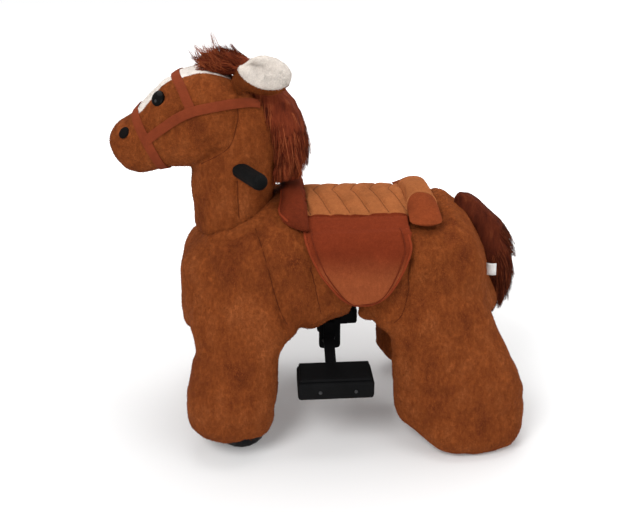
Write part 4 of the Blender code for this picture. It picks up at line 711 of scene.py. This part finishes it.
def sewn(name, base, seams, body):
    """Dark thread along seams, on both sides of the toy: stitching, coloured darker than the pile as painted
    shade in the seam grooves.
    """
    lines = []
    for seam in seams:
        for sign in (1, -1):
            points = smoothed([(x, sign * y, z) for x, y, z in seam], 40)
            line = np.array([tuple(nearest_on(base, point)[0]) for point in points])
            lines.append(softened(line, 4))
    tube(name, lines, STITCH_RADIUS, body, SEAM)


def under_saddle(points):
    """1 where the rear body lies under the saddle, 0 away from it."""
    x, y, z = points.T
    return rise(x, 0.245, -0.015) * rise(np.abs(y), 0.152, -0.012) * rise(z, 0.425, 0.02)


def front_shift(x, y, z):
    """The outer rim of the foot turns up, and the belly hangs a little behind the leg."""
    lift = 0.01 * rise(y, 0.14, 0.05) * rise(z, 0.115, -0.06)
    hang = 0.026 * hump(x, -0.034, 0.04) * rise(z, 0.365, -0.07) * rise(y, 0.05, 0.05) * rise(z, 0.2, 0.06)
    heel = 0.006 * rise(x, -0.155, 0.04) * rise(z, 0.125, -0.08)
    shin = 0.005 * rise(x, -0.2, -0.04) * rise(z, 0.3, -0.06) * rise(z, 0.17, 0.04)
    chest = 0.017 * hump(z, 0.436, 0.028) * rise(x, -0.215, -0.045)
    return chest - heel - shin, 0, lift - hang


def rear_shift(x, y, z):
    """The foot is square at the sole's outer edge and rounder at its front, and the thigh is full."""
    sole = rise(z, 0.1, -0.06) * rise(y, 0.12, 0.06) * rise(x, 0.17, 0.05) * rise(x, 0.418, -0.045)
    front = 0.022 * rise(x, 0.255, -0.075) * rise(z, 0.085, -0.055)
    thigh = 0.004 * rise(x, 0.3, 0.05) * rise(z, 0.09, 0.06) * rise(z, 0.27, -0.06)
    knee = 0.013 * rise(x, 0.15, -0.045) * rise(z, 0.14, 0.05) * rise(z, 0.325, -0.04) * rise(y, 0.08, 0.04)
    seat = 0.013 * rise(x, 0.295, 0.045) * rise(z, 0.275, 0.04) * rise(z, 0.395, -0.06)
    rump = 0.009 * rise(x, 0.205, 0.02) * rise(x, 0.29, -0.04) * rise(z, 0.43, 0.04)
    hang = 0.014 * hump(x, 0.092, 0.028) * rise(z, 0.345, -0.05) * rise(y, 0.05, 0.05) * rise(z, 0.22, 0.04)
    drop = rump + hang + np.minimum(0.008 * sole, np.maximum(z - SOLE_Z, 0))
    return thigh - knee - seat, 0.014 * sole, front - drop


def body_skin(name, seed, seams, folds, shift):
    nodes = ["plush_%s_%s" % (name, part) for part in ("body", "leg_left", "leg_right")]
    body = name + "_frame"
    obj = skin(name + "_skin", nodes, voxel=0.0045, smooth=10)
    still, _ = coordinates(obj)
    rumple(obj, 0.005, 14, seed + 0.5, 0.0004)
    rumple(obj, 0.002, 40, seed + 2.5)
    if name == "rear":
        # Under the saddle the cover is taut, so that the board and the roll stay clear of it
        verts, _ = coordinates(obj)
        under = under_saddle(still)
        verts += (still - verts) * under[:, None]
        verts[:, 2] -= 0.0055 * under
        move(obj, verts)
    groove(obj, seams, depth=0.006, width=0.0065)
    groove(obj, folds, depth=0.0045, width=0.01)
    verts, _ = coordinates(obj)
    x, y, z = verts.T
    ahead, out, up = shift(x, np.abs(y), z)
    move(obj, verts + np.stack([ahead, np.sign(y) * out, up], axis=1))
    stuffed(obj, nodes, body, 0.9, BODY_PLUSH)
    sewn(name + "_seams", obj, seams, body)
    pile(
        name + "_pile", obj, body, PILE_STRANDS, 90000, 0.0058, 0.0012, (0.3, 0, -1), 0.72, seed,
        (
            lambda p, n: (p[:, 2] > 0.05) | (n[:, 2] > -0.55),
            lambda p, n: (p[:, 2] < 0.44) | (p[:, 0] < 0.06) | (p[:, 0] > 0.226) | (np.abs(p[:, 1]) > 0.098),
            clear_of(SADDLE_NODES, 0.004),
        ),
    )
    return obj


def head_skin():
    nodes = ["plush_neck", "plush_head"]
    obj = skin("head_skin", nodes, voxel=0.0042, smooth=7)
    rumple(obj, 0.003, 17, 5, 0.0006)
    rumple(obj, 0.0012, 50, 6)
    groove(obj, HEAD_SEAMS, depth=0.0044, width=0.005)
    verts, normals = coordinates(obj)
    x, y, z = verts.T
    z += 0.0045 * rise(z, 0.625, -0.025) * rise(x, -0.185, -0.03)
    for _, sign in SIDES:
        away = np.linalg.norm(verts - np.array(GRIP_ROOT) * (1, sign, 1), axis=1)
        verts += normals * (0.01 * hump(away, 0, 0.022))[:, None]
    move(obj, verts)
    stuffed(obj, nodes, "steering", 0.9, HEAD_PLUSH)
    sewn("head_seams", obj, HEAD_SEAMS, "steering")
    free = clear_of(["eye_left", "eye_right", "grip_left", "grip_right"], 0.0045)
    off_straps = clear_of(["noseband", "browband", "cheek_strap_left", "cheek_strap_right"], 0.003)
    off_nostrils = lambda p, n: np.hypot(p[:, 0] - NOSTRIL_X, p[:, 2] - NOSTRIL_Z) > NOSTRIL_RADIUS
    for name, looks, rising, seed, pale in (
        ("head_pile", PILE_STRANDS, -0.6, 21, False), ("blaze_pile", CREAM_STRANDS, 0.2, 22, True)
    ):
        where = lambda p, n: on_blaze(p) == pale
        tests = (where, free, off_straps) if pale else (where, off_nostrils, free, off_straps)
        pile(name, obj, "steering", looks, 70000, 0.0048, 0.0011, (0.8, 0, rising), 0.75, seed, tests)
    return obj


# Long hair

def flow(root_out, root, tip_out, tip):
    """The ways of the strands' roots and tips, each partly outward."""
    return lambda p, n: (n * root_out + np.array(root), n * tip_out + np.array(tip))


def mane_floor(p):
    """The mane ends above the pommel, and a little lower ahead of it."""
    return 0.538 - 0.014 * rise(p[:, 0], -0.084, -0.012)


def mane():
    form = skin("mane_form", ["mane"], voxel=0.005, smooth=4)
    rumple(form, 0.005, 40, 2, -0.0035)
    verts, _ = coordinates(form)
    x, z = verts[:, 0].copy(), verts[:, 2]
    verts[:, 0] -= 0.003 * rise(x, -0.08, 0.04) + 0.008 * rise(z, 0.64, -0.06) * rise(x, -0.07, 0.03)
    ahead = rise(x, -0.05, -0.025) * rise(z, 0.585, -0.035)
    verts[:, 0] -= 0.024 * ahead
    verts[:, 2] -= 0.007 * ahead * rise(x, -0.076, -0.014)
    move(form, verts)
    stuffed(form, ["mane"], "steering", 0.8, HAIR)

    locks(
        "mane_locks", form, "steering", HAIR_STRANDS, 12000, 0.072,
        flow(0.2, (0.12, 0, -0.9), 0, (-0.02, 0, -1)), 31, 0.11, (0.3, 0.45, 0.25), 240,
        tests=[lambda p, n: p[:, 2] > mane_floor(p) + 0.004],
        scale=lambda p: np.clip((p[:, 2] - mane_floor(p)) / 0.088, 0.06, 1),
    )


def forelock():
    form = skin("forelock_form", ["forelock"], voxel=0.004, smooth=3)
    verts, _ = coordinates(form)
    low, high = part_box("forelock")
    x, y, z = verts.T
    z[:] = low.z + (z - low.z) * (0.5 + 0.16 * rise(x, -0.205, 0.045))
    x[:] = high.x + (x - high.x) * 0.93
    move(form, verts)
    rumple(form, 0.004, 55, 4, -0.001)
    stuffed(form, ["forelock"], "steering", 0.8, HAIR)

    for name, count, length, way, curl, shares, tufts, reach in (
        ("forelock_locks", 3400, 0.034, flow(0.25, (-0.65, 0, 0.1), 0.1, (-0.6, 0, 0.42)),
         0.2, (0.32, 0.48, 0.2), 70, 0),
        ("forelock_wisps", 800, 0.052, flow(0.25, (-0.6, 0, 0.2), 0.05, (-0.35, 0, 0.8)),
         0.3, (0, 0.35, 0.65), 24, -0.18),
    ):
        locks(
            name, form, "steering", HAIR_STRANDS, count, length, way, 33, curl, shares, tufts,
            tests=[lambda p, n: p[:, 0] < reach], gather=0.8,
        )


def tail():
    form = skin("tail_form", ["tail"], voxel=0.005, smooth=4)
    verts, normals = coordinates(form)
    x, y, z = verts.T
    full = rise(z, 0.235, 0.06) * rise(z, 0.492, -0.03)
    x -= 0.024 * np.clip(0.25 - normals[:, 0], 0, 1) * full
    x -= 0.019 * rise(z, 0.34, -0.1) + 0.009 * rise(z, 0.43, 0.04) + 0.006 * rise(z, 0.43, -0.03)
    z += 0.016 * rise(z, 0.31, -0.09) + 0.004 * rise(z, 0.36, 0.04)
    move(form, verts)
    rumple(form, 0.004, 30, 7, -0.001)
    stuffed(form, ["tail"], "rear_frame", 0.8, TAIL_HAIR)

    def hanging(p, n):
        down = np.array((0.3, 0, -1))[None, :] * np.ones((len(p), 1))
        down[:, 0] = np.interp(p[:, 2], (0.24, 0.34, 0.4, 0.48), (-0.45, 0, 0.45, 0.95))
        return n * 0.14 + down, down

    locks(
        "tail_locks", form, "rear_frame", TAIL_STRANDS, 12000, 0.062, hanging, 35, 0.1,
        (0.35, 0.45, 0.2), 220,
        scale=lambda p: np.clip((p[:, 2] - 0.21) / 0.09, 0.3, 1),
    )


# Ears

EAR_OUT = np.array((0.04, 0.86, 0.51))  # the way the left ear's pale side faces, with y turned round


def ear_face(points, node, sign):
    """How far each point lies inside the ear's pale side: above 0 it is pale."""
    low, high = (np.array(corner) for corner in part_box(node))
    middle, half = (low + high) / 2, (high - low) / 2
    away = points - middle
    out = away @ (EAR_OUT * (1, sign, 1))
    x, y, z = away.T
    along = (x - 0.008) / (half[0] * 0.9)
    up = (z - sign * y * 0.35 - 0.0045) / (half[2] * 0.92)
    tilted = up + 0.3 * along - 0.1
    return np.where(out > -0.004, 1 - along**2 - tilted**2, -1), along, up


def ears():
    for side, sign in SIDES:
        node = "ear_" + side
        ear = skin("ear_" + side + "_plush", [node], voxel=0.0024, smooth=3)
        inside, along, up = ear_face(coordinates(ear)[0], node, sign)
        verts, normals = coordinates(ear)
        across = up + 0.3 * along
        dish = hump(along, -0.35, 0.42) * hump(across, 0.15, 0.34) * (inside > 0)
        lift = np.clip(inside * 6, 0, 1)
        crease = hump(along, -0.42, 0.24) * hump(across, 0.22, 0.1) * (inside > 0)
        verts += normals * (0.0014 * lift - 0.0105 * dish - 0.0045 * crease)[:, None]
        move(ear, verts)
        stuffed(ear, [node], "steering", 0.8, BODY_PLUSH, EAR_CREAM)
        for polygon in ear.data.polygons:
            polygon.material_index = int(sum(inside[v] for v in polygon.vertices) > 0)
        for name, looks, count, length, width, seed, pale in (
            ("ear_pile_", PILE_STRANDS, 14000, 0.005, 0.0011, 41, False),
            ("ear_cream_pile_", CREAM_STRANDS, 16000, 0.0036, 0.0012, 43, True),
        ):
            where = lambda p, n: (ear_face(p, node, sign)[0] > 0) == pale
            pile(name + side, ear, "steering", looks, count, length, width, (0.6, 0, 0.3), 0.6, seed, [where])


def oval(name, centre, size, turn, body, look):
    work = bmesh.new()
    bmesh.ops.create_uvsphere(work, u_segments=28, v_segments=18, radius=0.5)
    work.transform(Matrix.Translation(centre) @ turn @ Matrix.Diagonal((*size, 1)))
    work.normal_update()
    obj = made_of(work, name)
    rounded(obj.data)
    return put(obj, body, look)


def nearest_on(obj, place):
    _, hit, normal, _ = obj.closest_point_on_mesh(Vector(place))
    return hit, normal


EYE_TILT = Matrix.Rotation(math.radians(-24), 4, "Y")  # of the eyes and the nostrils


def face(head):
    for side, sign in SIDES:
        for name, (x, y, z), size, out, look in (
            ("eye_ball_", (-0.304, 0.051, 0.715), (0.024, 0.0135, 0.0335), 0.0012, EYE_GLOSS),
            ("nostril_", (-0.379, 0.06, 0.655), (0.018, 0.007, 0.023), 0.0016, NOSE_BLACK),
        ):
            place, normal = nearest_on(head, (x, sign * y, z))
            turn = normal.to_track_quat("Y", "Z").to_matrix().to_4x4() @ EYE_TILT
            oval(name + side, place + normal * out, size, turn, "steering", look)
        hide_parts("eye_" + side)


STRAP_WIDTH = 0.018
STRAP_THICKNESS = 0.0016
STRAP_LIFT = 0.0022


def ribbon(name, node, points, base, lift=STRAP_LIFT, closed=False):
    """A flat strap that lies on a skin along a line, in the place of a node."""
    centres, outs = (np.array(found) for found in zip(*(nearest_on(base, point) for point in points)))
    outs = unit(softened(outs, 6, closed))
    centres = softened(centres, 3, closed)
    if closed:
        ways = unit(np.roll(centres, -1, 0) - np.roll(centres, 1, 0))
    else:
        ways = unit(np.gradient(centres, axis=0))
    across = unit(np.cross(ways, outs))
    count, columns = len(centres), 5
    verts = []
    for i in range(count):
        for j in range(columns):
            side = (j / (columns - 1) - 0.5) * STRAP_WIDTH
            place, _ = nearest_on(base, centres[i] + across[i] * side)
            verts.append(np.array(place) + outs[i] * lift)
    verts = softened(np.array(verts).reshape(count, columns, 3), 2, closed).reshape(-1, 3)
    strap = thickened(mesh_object(name, verts, grid(count, columns, closed)), STRAP_THICKNESS, bevel=0.0005)
    put(strap, "steering", STRAP_CLOTH)
    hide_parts(node)


CHEEK_LINE = metres((
    (-332.1, -60.8, 632.9), (-318, -62.5, 644), (-304.7, -63.5, 653.7), (-275.6, -69.4, 673.2),
    (-247.4, -73.4, 687), (-220, -77.6, 694.3), (-193.1, -76.9, 699.1), (-166.4, -67.2, 701),
    (-139.8, -51.1, 697.8), (-124, -42, 692),
))
BROW_LINE = metres((
    (-243, -72.2, 689), (-245, -71.3, 693.4), (-255, -62.7, 716.8), (-264, -50, 732.2),
    (-273.4, -21, 742.7), (-275, 0, 745),
))
NOSE_MIDDLE = (-0.329, 0, 0.625)
NOSE_UP = (-0.383, 0, 0.924)


def bridle(head):
    loop = []
    for i in range(96):
        turn = 2 * math.pi * i / 96
        way = Vector((0, 1, 0)) * math.cos(turn) + Vector(NOSE_UP).normalized() * math.sin(turn)
        loop.append(head.ray_cast(Vector(NOSE_MIDDLE) + way * 0.16, -way)[1])
    ribbon("noseband_strap", "noseband", loop, head, closed=True)
    brow = BROW_LINE + tuple((x, -y, z) for x, y, z in BROW_LINE[-2::-1])
    ribbon("browband_strap", "browband", smoothed(brow, 60), head, STRAP_LIFT - 0.0005)
    for side, sign in SIDES:
        node = "cheek_strap_" + side
        line = smoothed([(x, -sign * y, z) for x, y, z in CHEEK_LINE], 60)
        ribbon(node + "_ribbon", node, line, head, STRAP_LIFT + 0.0006)


# Saddle

FLAP_ROWS = (  # each row's fall and run, and its ends along the flap, as shares of these sizes
    (0, 0, 0.055, 0.96), (0.07, 0.4, 0.055, 0.965), (0.19, 0.7, 0.06, 0.98),
    (0.33, 0.9, 0.09, 0.99), (0.48, 0.985, 0.145, 0.955), (0.62, 1, 0.205, 0.91),
    (0.76, 0.99, 0.285, 0.855), (0.87, 0.975, 0.355, 0.795), (0.95, 0.96, 0.43, 0.72),
    (1, 0.945, 0.52, 0.62),
)
FLAP_FALL, FLAP_RUN, FLAP_LENGTH = 0.1665, 0.0575, 0.21
FLAP_TOP = (-0.079, 0.1003, 0.4965)  # its front corner, with x from the hub's middle
FLAP_DROP_Y, FLAP_DROP = (0.1, 0.124, 0.141, 0.155), (0.0205, 0.019, 0.0075, 0)  # towards the seat


def flap_place(column, row, sign, lift):
    """A place on the flap: column 0 is its front edge, row 0 its top."""
    last = len(FLAP_ROWS) - 1
    drop, out, ahead, back = between(FLAP_ROWS, row * last)
    below, above = between(FLAP_ROWS, row * last + 0.1), between(FLAP_ROWS, row * last - 0.1)
    fall, run = (below[0] - above[0]) * FLAP_FALL, (below[1] - above[1]) * FLAP_RUN
    length = math.hypot(fall, run)
    x = CENTRE_X + FLAP_TOP[0] + (ahead + (back - ahead) * column) * FLAP_LENGTH
    y = FLAP_TOP[1] + out * FLAP_RUN + lift * fall / length
    z = FLAP_TOP[2] - drop * FLAP_FALL + lift * run / length
    return Vector((x, sign * y, z - np.interp(y, FLAP_DROP_Y, FLAP_DROP)))


def flaps():
    for side, sign in SIDES:
        node = "saddle_flap_" + side
        obj = skin("flap_" + side, [node], voxel=0.003, smooth=3)
        rumple(obj, 0.0022, 30, 3 * sign)
        verts, _ = coordinates(obj)
        x, y, z = verts.T
        inner = np.clip((0.113 - np.abs(y)) / 0.013, 0, 1)
        z -= np.interp(np.abs(y), FLAP_DROP_Y, FLAP_DROP)
        y -= sign * 0.016 * inner
        z += 0.0062 * inner
        x += 0.0095 * rise(x, 0.1, 0.05) * rise(z, 0.445, 0.03)
        move(obj, verts)
        stuffed(obj, [node], "hub", 0.5, FLAP_PLUSH)
        for name, inset, low, lift, radius, look in (
            ("piping", 0, 0.985, 0.0042, 0.0026, PIPING_RUST),
            ("stitch", 0.062, 0.935, 0.0072, 0.0011, THREAD),
        ):
            places = [(inset, 0.1 + (low - 0.105) * i / 40) for i in range(41)]
            places += [(inset + (1 - 2 * inset) * i / 12, low) for i in range(1, 12)]
            places += [(1 - inset, low - 0.005 - (low - 0.105) * i / 40) for i in range(41)]
            line = [flap_place(column, row, sign, lift) for column, row in places]
            tube("flap_%s_%s" % (name, side), [line], radius, "hub", look)


CHANNEL_PITCH = 0.0375
CHANNEL_SKEW = 0.33
POMMEL_END_Y = 0.115
PANEL_PLACE = np.array((0.186, 0.052, 0.508))
PANEL_WAY = np.array((0.05, 0.8, 0.6))
SEAT_HALF_WIDTH = 0.085
SEAT_CROWN_Z, SEAT_ARCH = 0.5115, 3.2
SEAT_BASE_Z = 0.49


def seat_arch(cushion):
    """Lets the cushion's sides hang over the back, as the sewn cover does."""
    verts, _ = coordinates(cushion)
    x, y, z = verts.T
    out = np.abs(y)
    now = SEAT_BASE_Z + 0.0245 - 0.018 * (out / 0.1) ** 2.6 + 0.002
    wanted = SEAT_CROWN_Z - SEAT_ARCH * out**2
    weight = np.clip((z - SEAT_BASE_Z) / (now - SEAT_BASE_Z), 0, 1)
    z -= (now - wanted) * np.maximum(weight, rise(out, 0.068, 0.014))
    x += 0.013 * rise(x, 0.1, 0.05)
    move(cushion, verts)


def channel_x(k, y):
    return CENTRE_X - 0.006 + k * CHANNEL_PITCH + CHANNEL_SKEW * abs(y)


def sliced(work, place, way):
    """Cuts faces along a plane, and gives the edges of the cut."""
    every = work.verts[:] + work.edges[:] + work.faces[:]
    cut = bmesh.ops.bisect_plane(work, geom=every, plane_co=place, plane_no=way, dist=1e-5)["geom_cut"]
    return [item for item in cut if isinstance(item, bmesh.types.BMEdge)]


def seat():
    cushion = skin("seat", ["saddle_cushion"], voxel=0.0045, smooth=4)
    inflate(cushion, 0.0045)
    seat_arch(cushion)
    modify(cushion, "SUBSURF", levels=1, render_levels=1)
    settle(cushion)
    work = bmesh.new()
    work.from_mesh(cushion.data)
    for sign in (1, -1):
        sliced(work, (0, sign * SEAT_HALF_WIDTH, 0), (0, 1, 0))
    for polygon in work.faces:
        polygon.material_index = int(abs(polygon.calc_center_median().y) > SEAT_HALF_WIDTH)
    work.to_mesh(cushion.data)
    work.free()
    verts, normals = coordinates(cushion)
    x, y = verts[:, 0], np.abs(verts[:, 1])
    on_top = y < SEAT_HALF_WIDTH + 1e-4
    channel = (x - channel_x(0, 0) - CHANNEL_SKEW * y) / CHANNEL_PITCH
    near = np.abs(channel - np.round(channel)) * CHANNEL_PITCH
    top = np.clip(normals[:, 2] * 1.6 + 0.35, 0, 1) * on_top
    push = -0.0046 * hump(near, 0, 0.0042) * top * (1 - rise(y, 0.07, 0.015) * 0.5)
    push += np.where(on_top, 0.0012 * rise(y, 0.055, 0.02), -0.0016 * rise(y, SEAT_HALF_WIDTH, 0.004))
    verts += normals * push[:, None]
    sag = np.cos(np.clip((x - CENTRE_X - 0.03) / 0.2, -0.5, 0.5) * math.pi)
    verts[:, 1] += np.sign(verts[:, 1]) * 0.0045 * sag * hump(y, SEAT_HALF_WIDTH, 0.012)
    move(cushion, verts)
    rounded(cushion.data)
    stuffed(cushion, ["saddle_cushion"], "hub", 0.9, SEAT_PLUSH, FLAP_PLUSH)
    low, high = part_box("saddle_cushion")
    lines = []
    for k in range(-3, 5):
        for sign in (1, -1):
            line = []
            for y in np.linspace(0, SEAT_HALF_WIDTH - 0.001, 22):
                x = channel_x(k, y)
                hit, place, _, _ = cushion.ray_cast(Vector((x, sign * y, 0.6)), Vector((0, 0, -1)))
                if hit and low.x + 0.008 < x < high.x + 0.004:
                    line.append(place)
            if len(line) > 3:
                lines.append(line)
    # The channel stitches: thread, darker than the seat as painted shade in the channels
    tube("seat_stitches_and_shade", lines, STITCH_RADIUS, "hub", SEAT_THREAD_AND_SHADE)


def pommel():
    roll = skin("pommel_roll", ["pommel"], voxel=0.003, smooth=6)
    inflate(roll, 0.0025)
    verts, _ = coordinates(roll)
    x, y, z = verts.T
    end = np.clip((np.abs(y) - POMMEL_END_Y) / 0.033, 0, 1)
    y -= np.sign(y) * 0.01 * end
    z += 0.009 * end
    x += 0.011 * np.clip((x + 0.075) / 0.025, 0, 1)
    move(roll, verts)
    stuffed(roll, ["pommel"], "hub", 0.9, POMMEL_PLUSH)
    front = []
    for y in np.linspace(-0.13, 0.13, 53):
        strip = verts[np.abs(verts[:, 1] - y) < 0.004]
        front.append(strip[np.argmin(strip[:, 0] - 0.25 * strip[:, 2])])
    tube("pommel_piping", [smoothed(front[::2], 60)], 0.0022, "hub", PIPING_RUST)


def cantle():
    """The roll behind the seat, lowered, with a rust panel and piping at each end."""
    roll = skin("cantle_roll", ["cantle"], voxel=0.0038, smooth=6)
    inflate(roll, 0.003)
    rumple(roll, 0.0018, 25, 8)
    verts, _ = coordinates(roll)
    low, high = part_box("cantle")
    middle = (low.x + high.x) / 2
    x, y, z = verts.T
    y *= 0.89
    x[:] = middle + (x - middle) * 0.92 - 0.001
    z -= (0.015 + 0.015 * (y / 0.1) ** 2) * rise(z, low.z - 0.004, 0.062)
    move(roll, verts)
    work = bmesh.new()
    work.from_mesh(roll.data)
    for side, sign in SIDES:
        place, way = Vector(PANEL_PLACE * (1, sign, 1)), Vector(PANEL_WAY * (1, sign, 1))
        edges = sliced(work, place, way)
        loop = [edges[0].verts[0]]
        left = set(edges)
        while True:
            step = next((e for e in loop[-1].link_edges if e in left), None)
            if step is None:
                break
            left.discard(step)
            loop.append(step.other_vert(loop[-1]))
        line = np.array([tuple(v.co) for v in loop[:-1]])
        line = softened(line, 4, closed=True)
        tube("cantle_piping_" + side, [line[::2]], 0.002, "hub", PIPING, cyclic=True)
        for polygon in work.faces:
            if (polygon.calc_center_median() - place).dot(way) > 0:
                polygon.material_index = 1
    work.to_mesh(roll.data)
    work.free()
    rounded(roll.data)
    stuffed(roll, ["cantle"], "hub", 0.95, SEAT_PLUSH, END_PLUSH)


GUSSET_PROFILE = metres(((152, 372), (149, 345), (139, 326), (121, 314), (97, 307), (50, 304)))
GUSSET_X = metres((46.5, 52, 57.5, 63, 68.5))


def belly_gap_shades():
    """A dark strip between the two halves, under each flap: painted shade, a sheet standing in for the
    shadowed gap between them.
    """
    for side, sign in SIDES:
        rows = [tuple(p) for p in smoothed([(0, y, z) for y, z in GUSSET_PROFILE], 20)]
        verts = []
        count = len(GUSSET_X)
        for _, y, z in rows:
            for i, x in enumerate(GUSSET_X):
                hollow = 0.003 * math.sin(math.pi * i / (count - 1))
                verts.append((x, sign * (y - hollow), z + hollow * 0.6))
        strip = mesh_object("belly_gap_shade_" + side, verts, grid(len(rows), count))
        put(thickened(strip, 0.002), "hub", BELLY_GAP_SHADE)


TAG_LENGTH, TAG_HEIGHT = 0.021, 0.026


def label(rump):
    """The small sewn tag on the rump, left bare."""
    place, _ = nearest_on(rump, (0.325, -0.09, 0.368))
    way, down = Vector((0.93, -0.36, 0.05)).normalized(), Vector((0.06, 0.04, -1)).normalized()
    columns, rows = 6, 5
    verts = []
    for i in range(columns + 1):
        for j in range(rows + 1):
            out = TAG_LENGTH * i / columns
            bend = way * out + Vector((0, -1, 0)) * 0.003 * math.sin(math.pi * i / columns)
            verts.append(place - way * 0.002 + bend + down * (TAG_HEIGHT * (j / rows - 0.5)))
    tag = mesh_object("blank_tag", verts, grid(columns + 1, rows + 1))
    put(thickened(tag, 0.0006, -1), "rear_frame", TAG)


# Rigid pieces

PAINTS = (  # what the names of the nodes begin with, and their look
    (("hub", "stirrup_arm", "front_", "rear_", "sync", "tie", "steering"), BLACK_PAINT),
    (("stirrup_base", "stirrup_tread"), BLACK_PLASTIC),
    (("grip",), BLACK_RUBBER),
    (("wheel",), WHEEL),
    (("pivot", "return", "handlebar"), SCREW_STEEL),
    (("saddle_board",), BOARD),
)
BRACKET_FACE_Y = 0.0365  # the outer face of the drop bracket, where its bolts sit


def rigid():
    for node in NODES:
        look = next((look for starts, look in PAINTS if node.startswith(starts)), None)
        if look:
            materials = NODES[node].data.materials
            materials.clear()
            materials.append(look)
    for side, sign in SIDES:
        low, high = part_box("stirrup_base_" + side)
        face_y = high.y if sign > 0 else low.y
        for share in (0.29, 0.755):
            x = low.x + share * (high.x - low.x)
            z = low.z + 0.47 * (high.z - low.z)
            screw("footrest_screw_%s_%d" % (side, round(share * 100)), (x, face_y, z), sign, 0.0038, 0.0016)
        low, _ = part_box("stirrup_arm_" + side)
        for dx, z in ((0.0115, 0.187), (0.0285, 0.1915)):
            name = "bracket_bolt_%s_%d" % (side, round(dx * 1e4))
            screw(name, (low.x + dx, sign * BRACKET_FACE_Y, z), sign, 0.0055, 0.004)


def screw(name, place, sign, radius, height):
    work = bmesh.new()
    sizes = {"radius1": radius, "radius2": radius * 0.82, "depth": height}
    bmesh.ops.create_cone(work, cap_ends=True, segments=20, **sizes)
    turn = Matrix.Rotation(math.radians(-90 * sign), 4, "X")
    work.transform(Matrix.Translation(Vector(place) + Vector((0, sign * height / 2, 0))) @ turn)
    work.normal_update()
    return put(made_of(work, name), "hub", DARK_SCREW)


# Camera and light

def studio():
    camera = given(bpy.data.cameras.new("camera"), lens=44.66, sensor_width=36, clip_end=50)
    eye = linked(bpy.data.objects.new("camera", camera))
    eye.location = (-0.1126, -1.4963, 1.03)
    eye.rotation_euler = (math.radians(90 - 23.9), 0, math.radians(-4))
    bpy.context.scene.camera = eye

    floor = mesh_object("floor", [(-8, -8, 0), (8, -8, 0), (8, 8, 0), (-8, 8, 0)], [(0, 1, 2, 3)])
    floor.data.materials.append(FLOOR)

    for name, place, aim_z, size, watts in (
        ("key", (-1.4, -2, 2.6), 0.4, 1.6, 62),
        ("fill", (2.4, -1.6, 1.6), 0.4, 2.2, 24),
        ("top", (0.2, 0.6, 3), 0.3, 2.4, 40),
    ):
        light = given(bpy.data.lights.new(name, "AREA"), shape="DISK", size=size, energy=watts)
        turn = (Vector((0, 0, aim_z)) - Vector(place)).to_track_quat("-Z", "Y").to_euler()
        given(linked(bpy.data.objects.new(name, light)), location=place, rotation_euler=turn)

    world = bpy.data.worlds.new("world")
    sky = Nodes(world)
    rays = sky.add("ShaderNodeLightPath").outputs
    seen = sky.maths("MAXIMUM", rays["Is Glossy Ray"], rays["Is Transmission Ray"])
    seen = sky.maths("MAXIMUM", rays["Is Camera Ray"], seen)
    # Full white where the world is seen or mirrored, and 0.45 of it as light
    level = sky.maths("MULTIPLY_ADD", seen, 0.55, 0.45)
    sky.feed(sky.tree.nodes["Background"], {"Strength": level, "Color": (1, 1, 1)})
    bpy.context.scene.world = world
    bpy.context.scene.view_settings.view_transform = "Standard"


seat()
pommel()
cantle()
body_skin("front", 3, FRONT_SEAMS, FRONT_FOLDS, front_shift)
REAR = body_skin("rear", 9, REAR_SEAMS, REAR_FOLDS, rear_shift)
HEAD = head_skin()
mane()
forelock()
tail()
ears()
face(HEAD)
bridle(HEAD)
flaps()
belly_gap_shades()
label(REAR)
rigid()
studio()

bpy.context.view_layer.update()
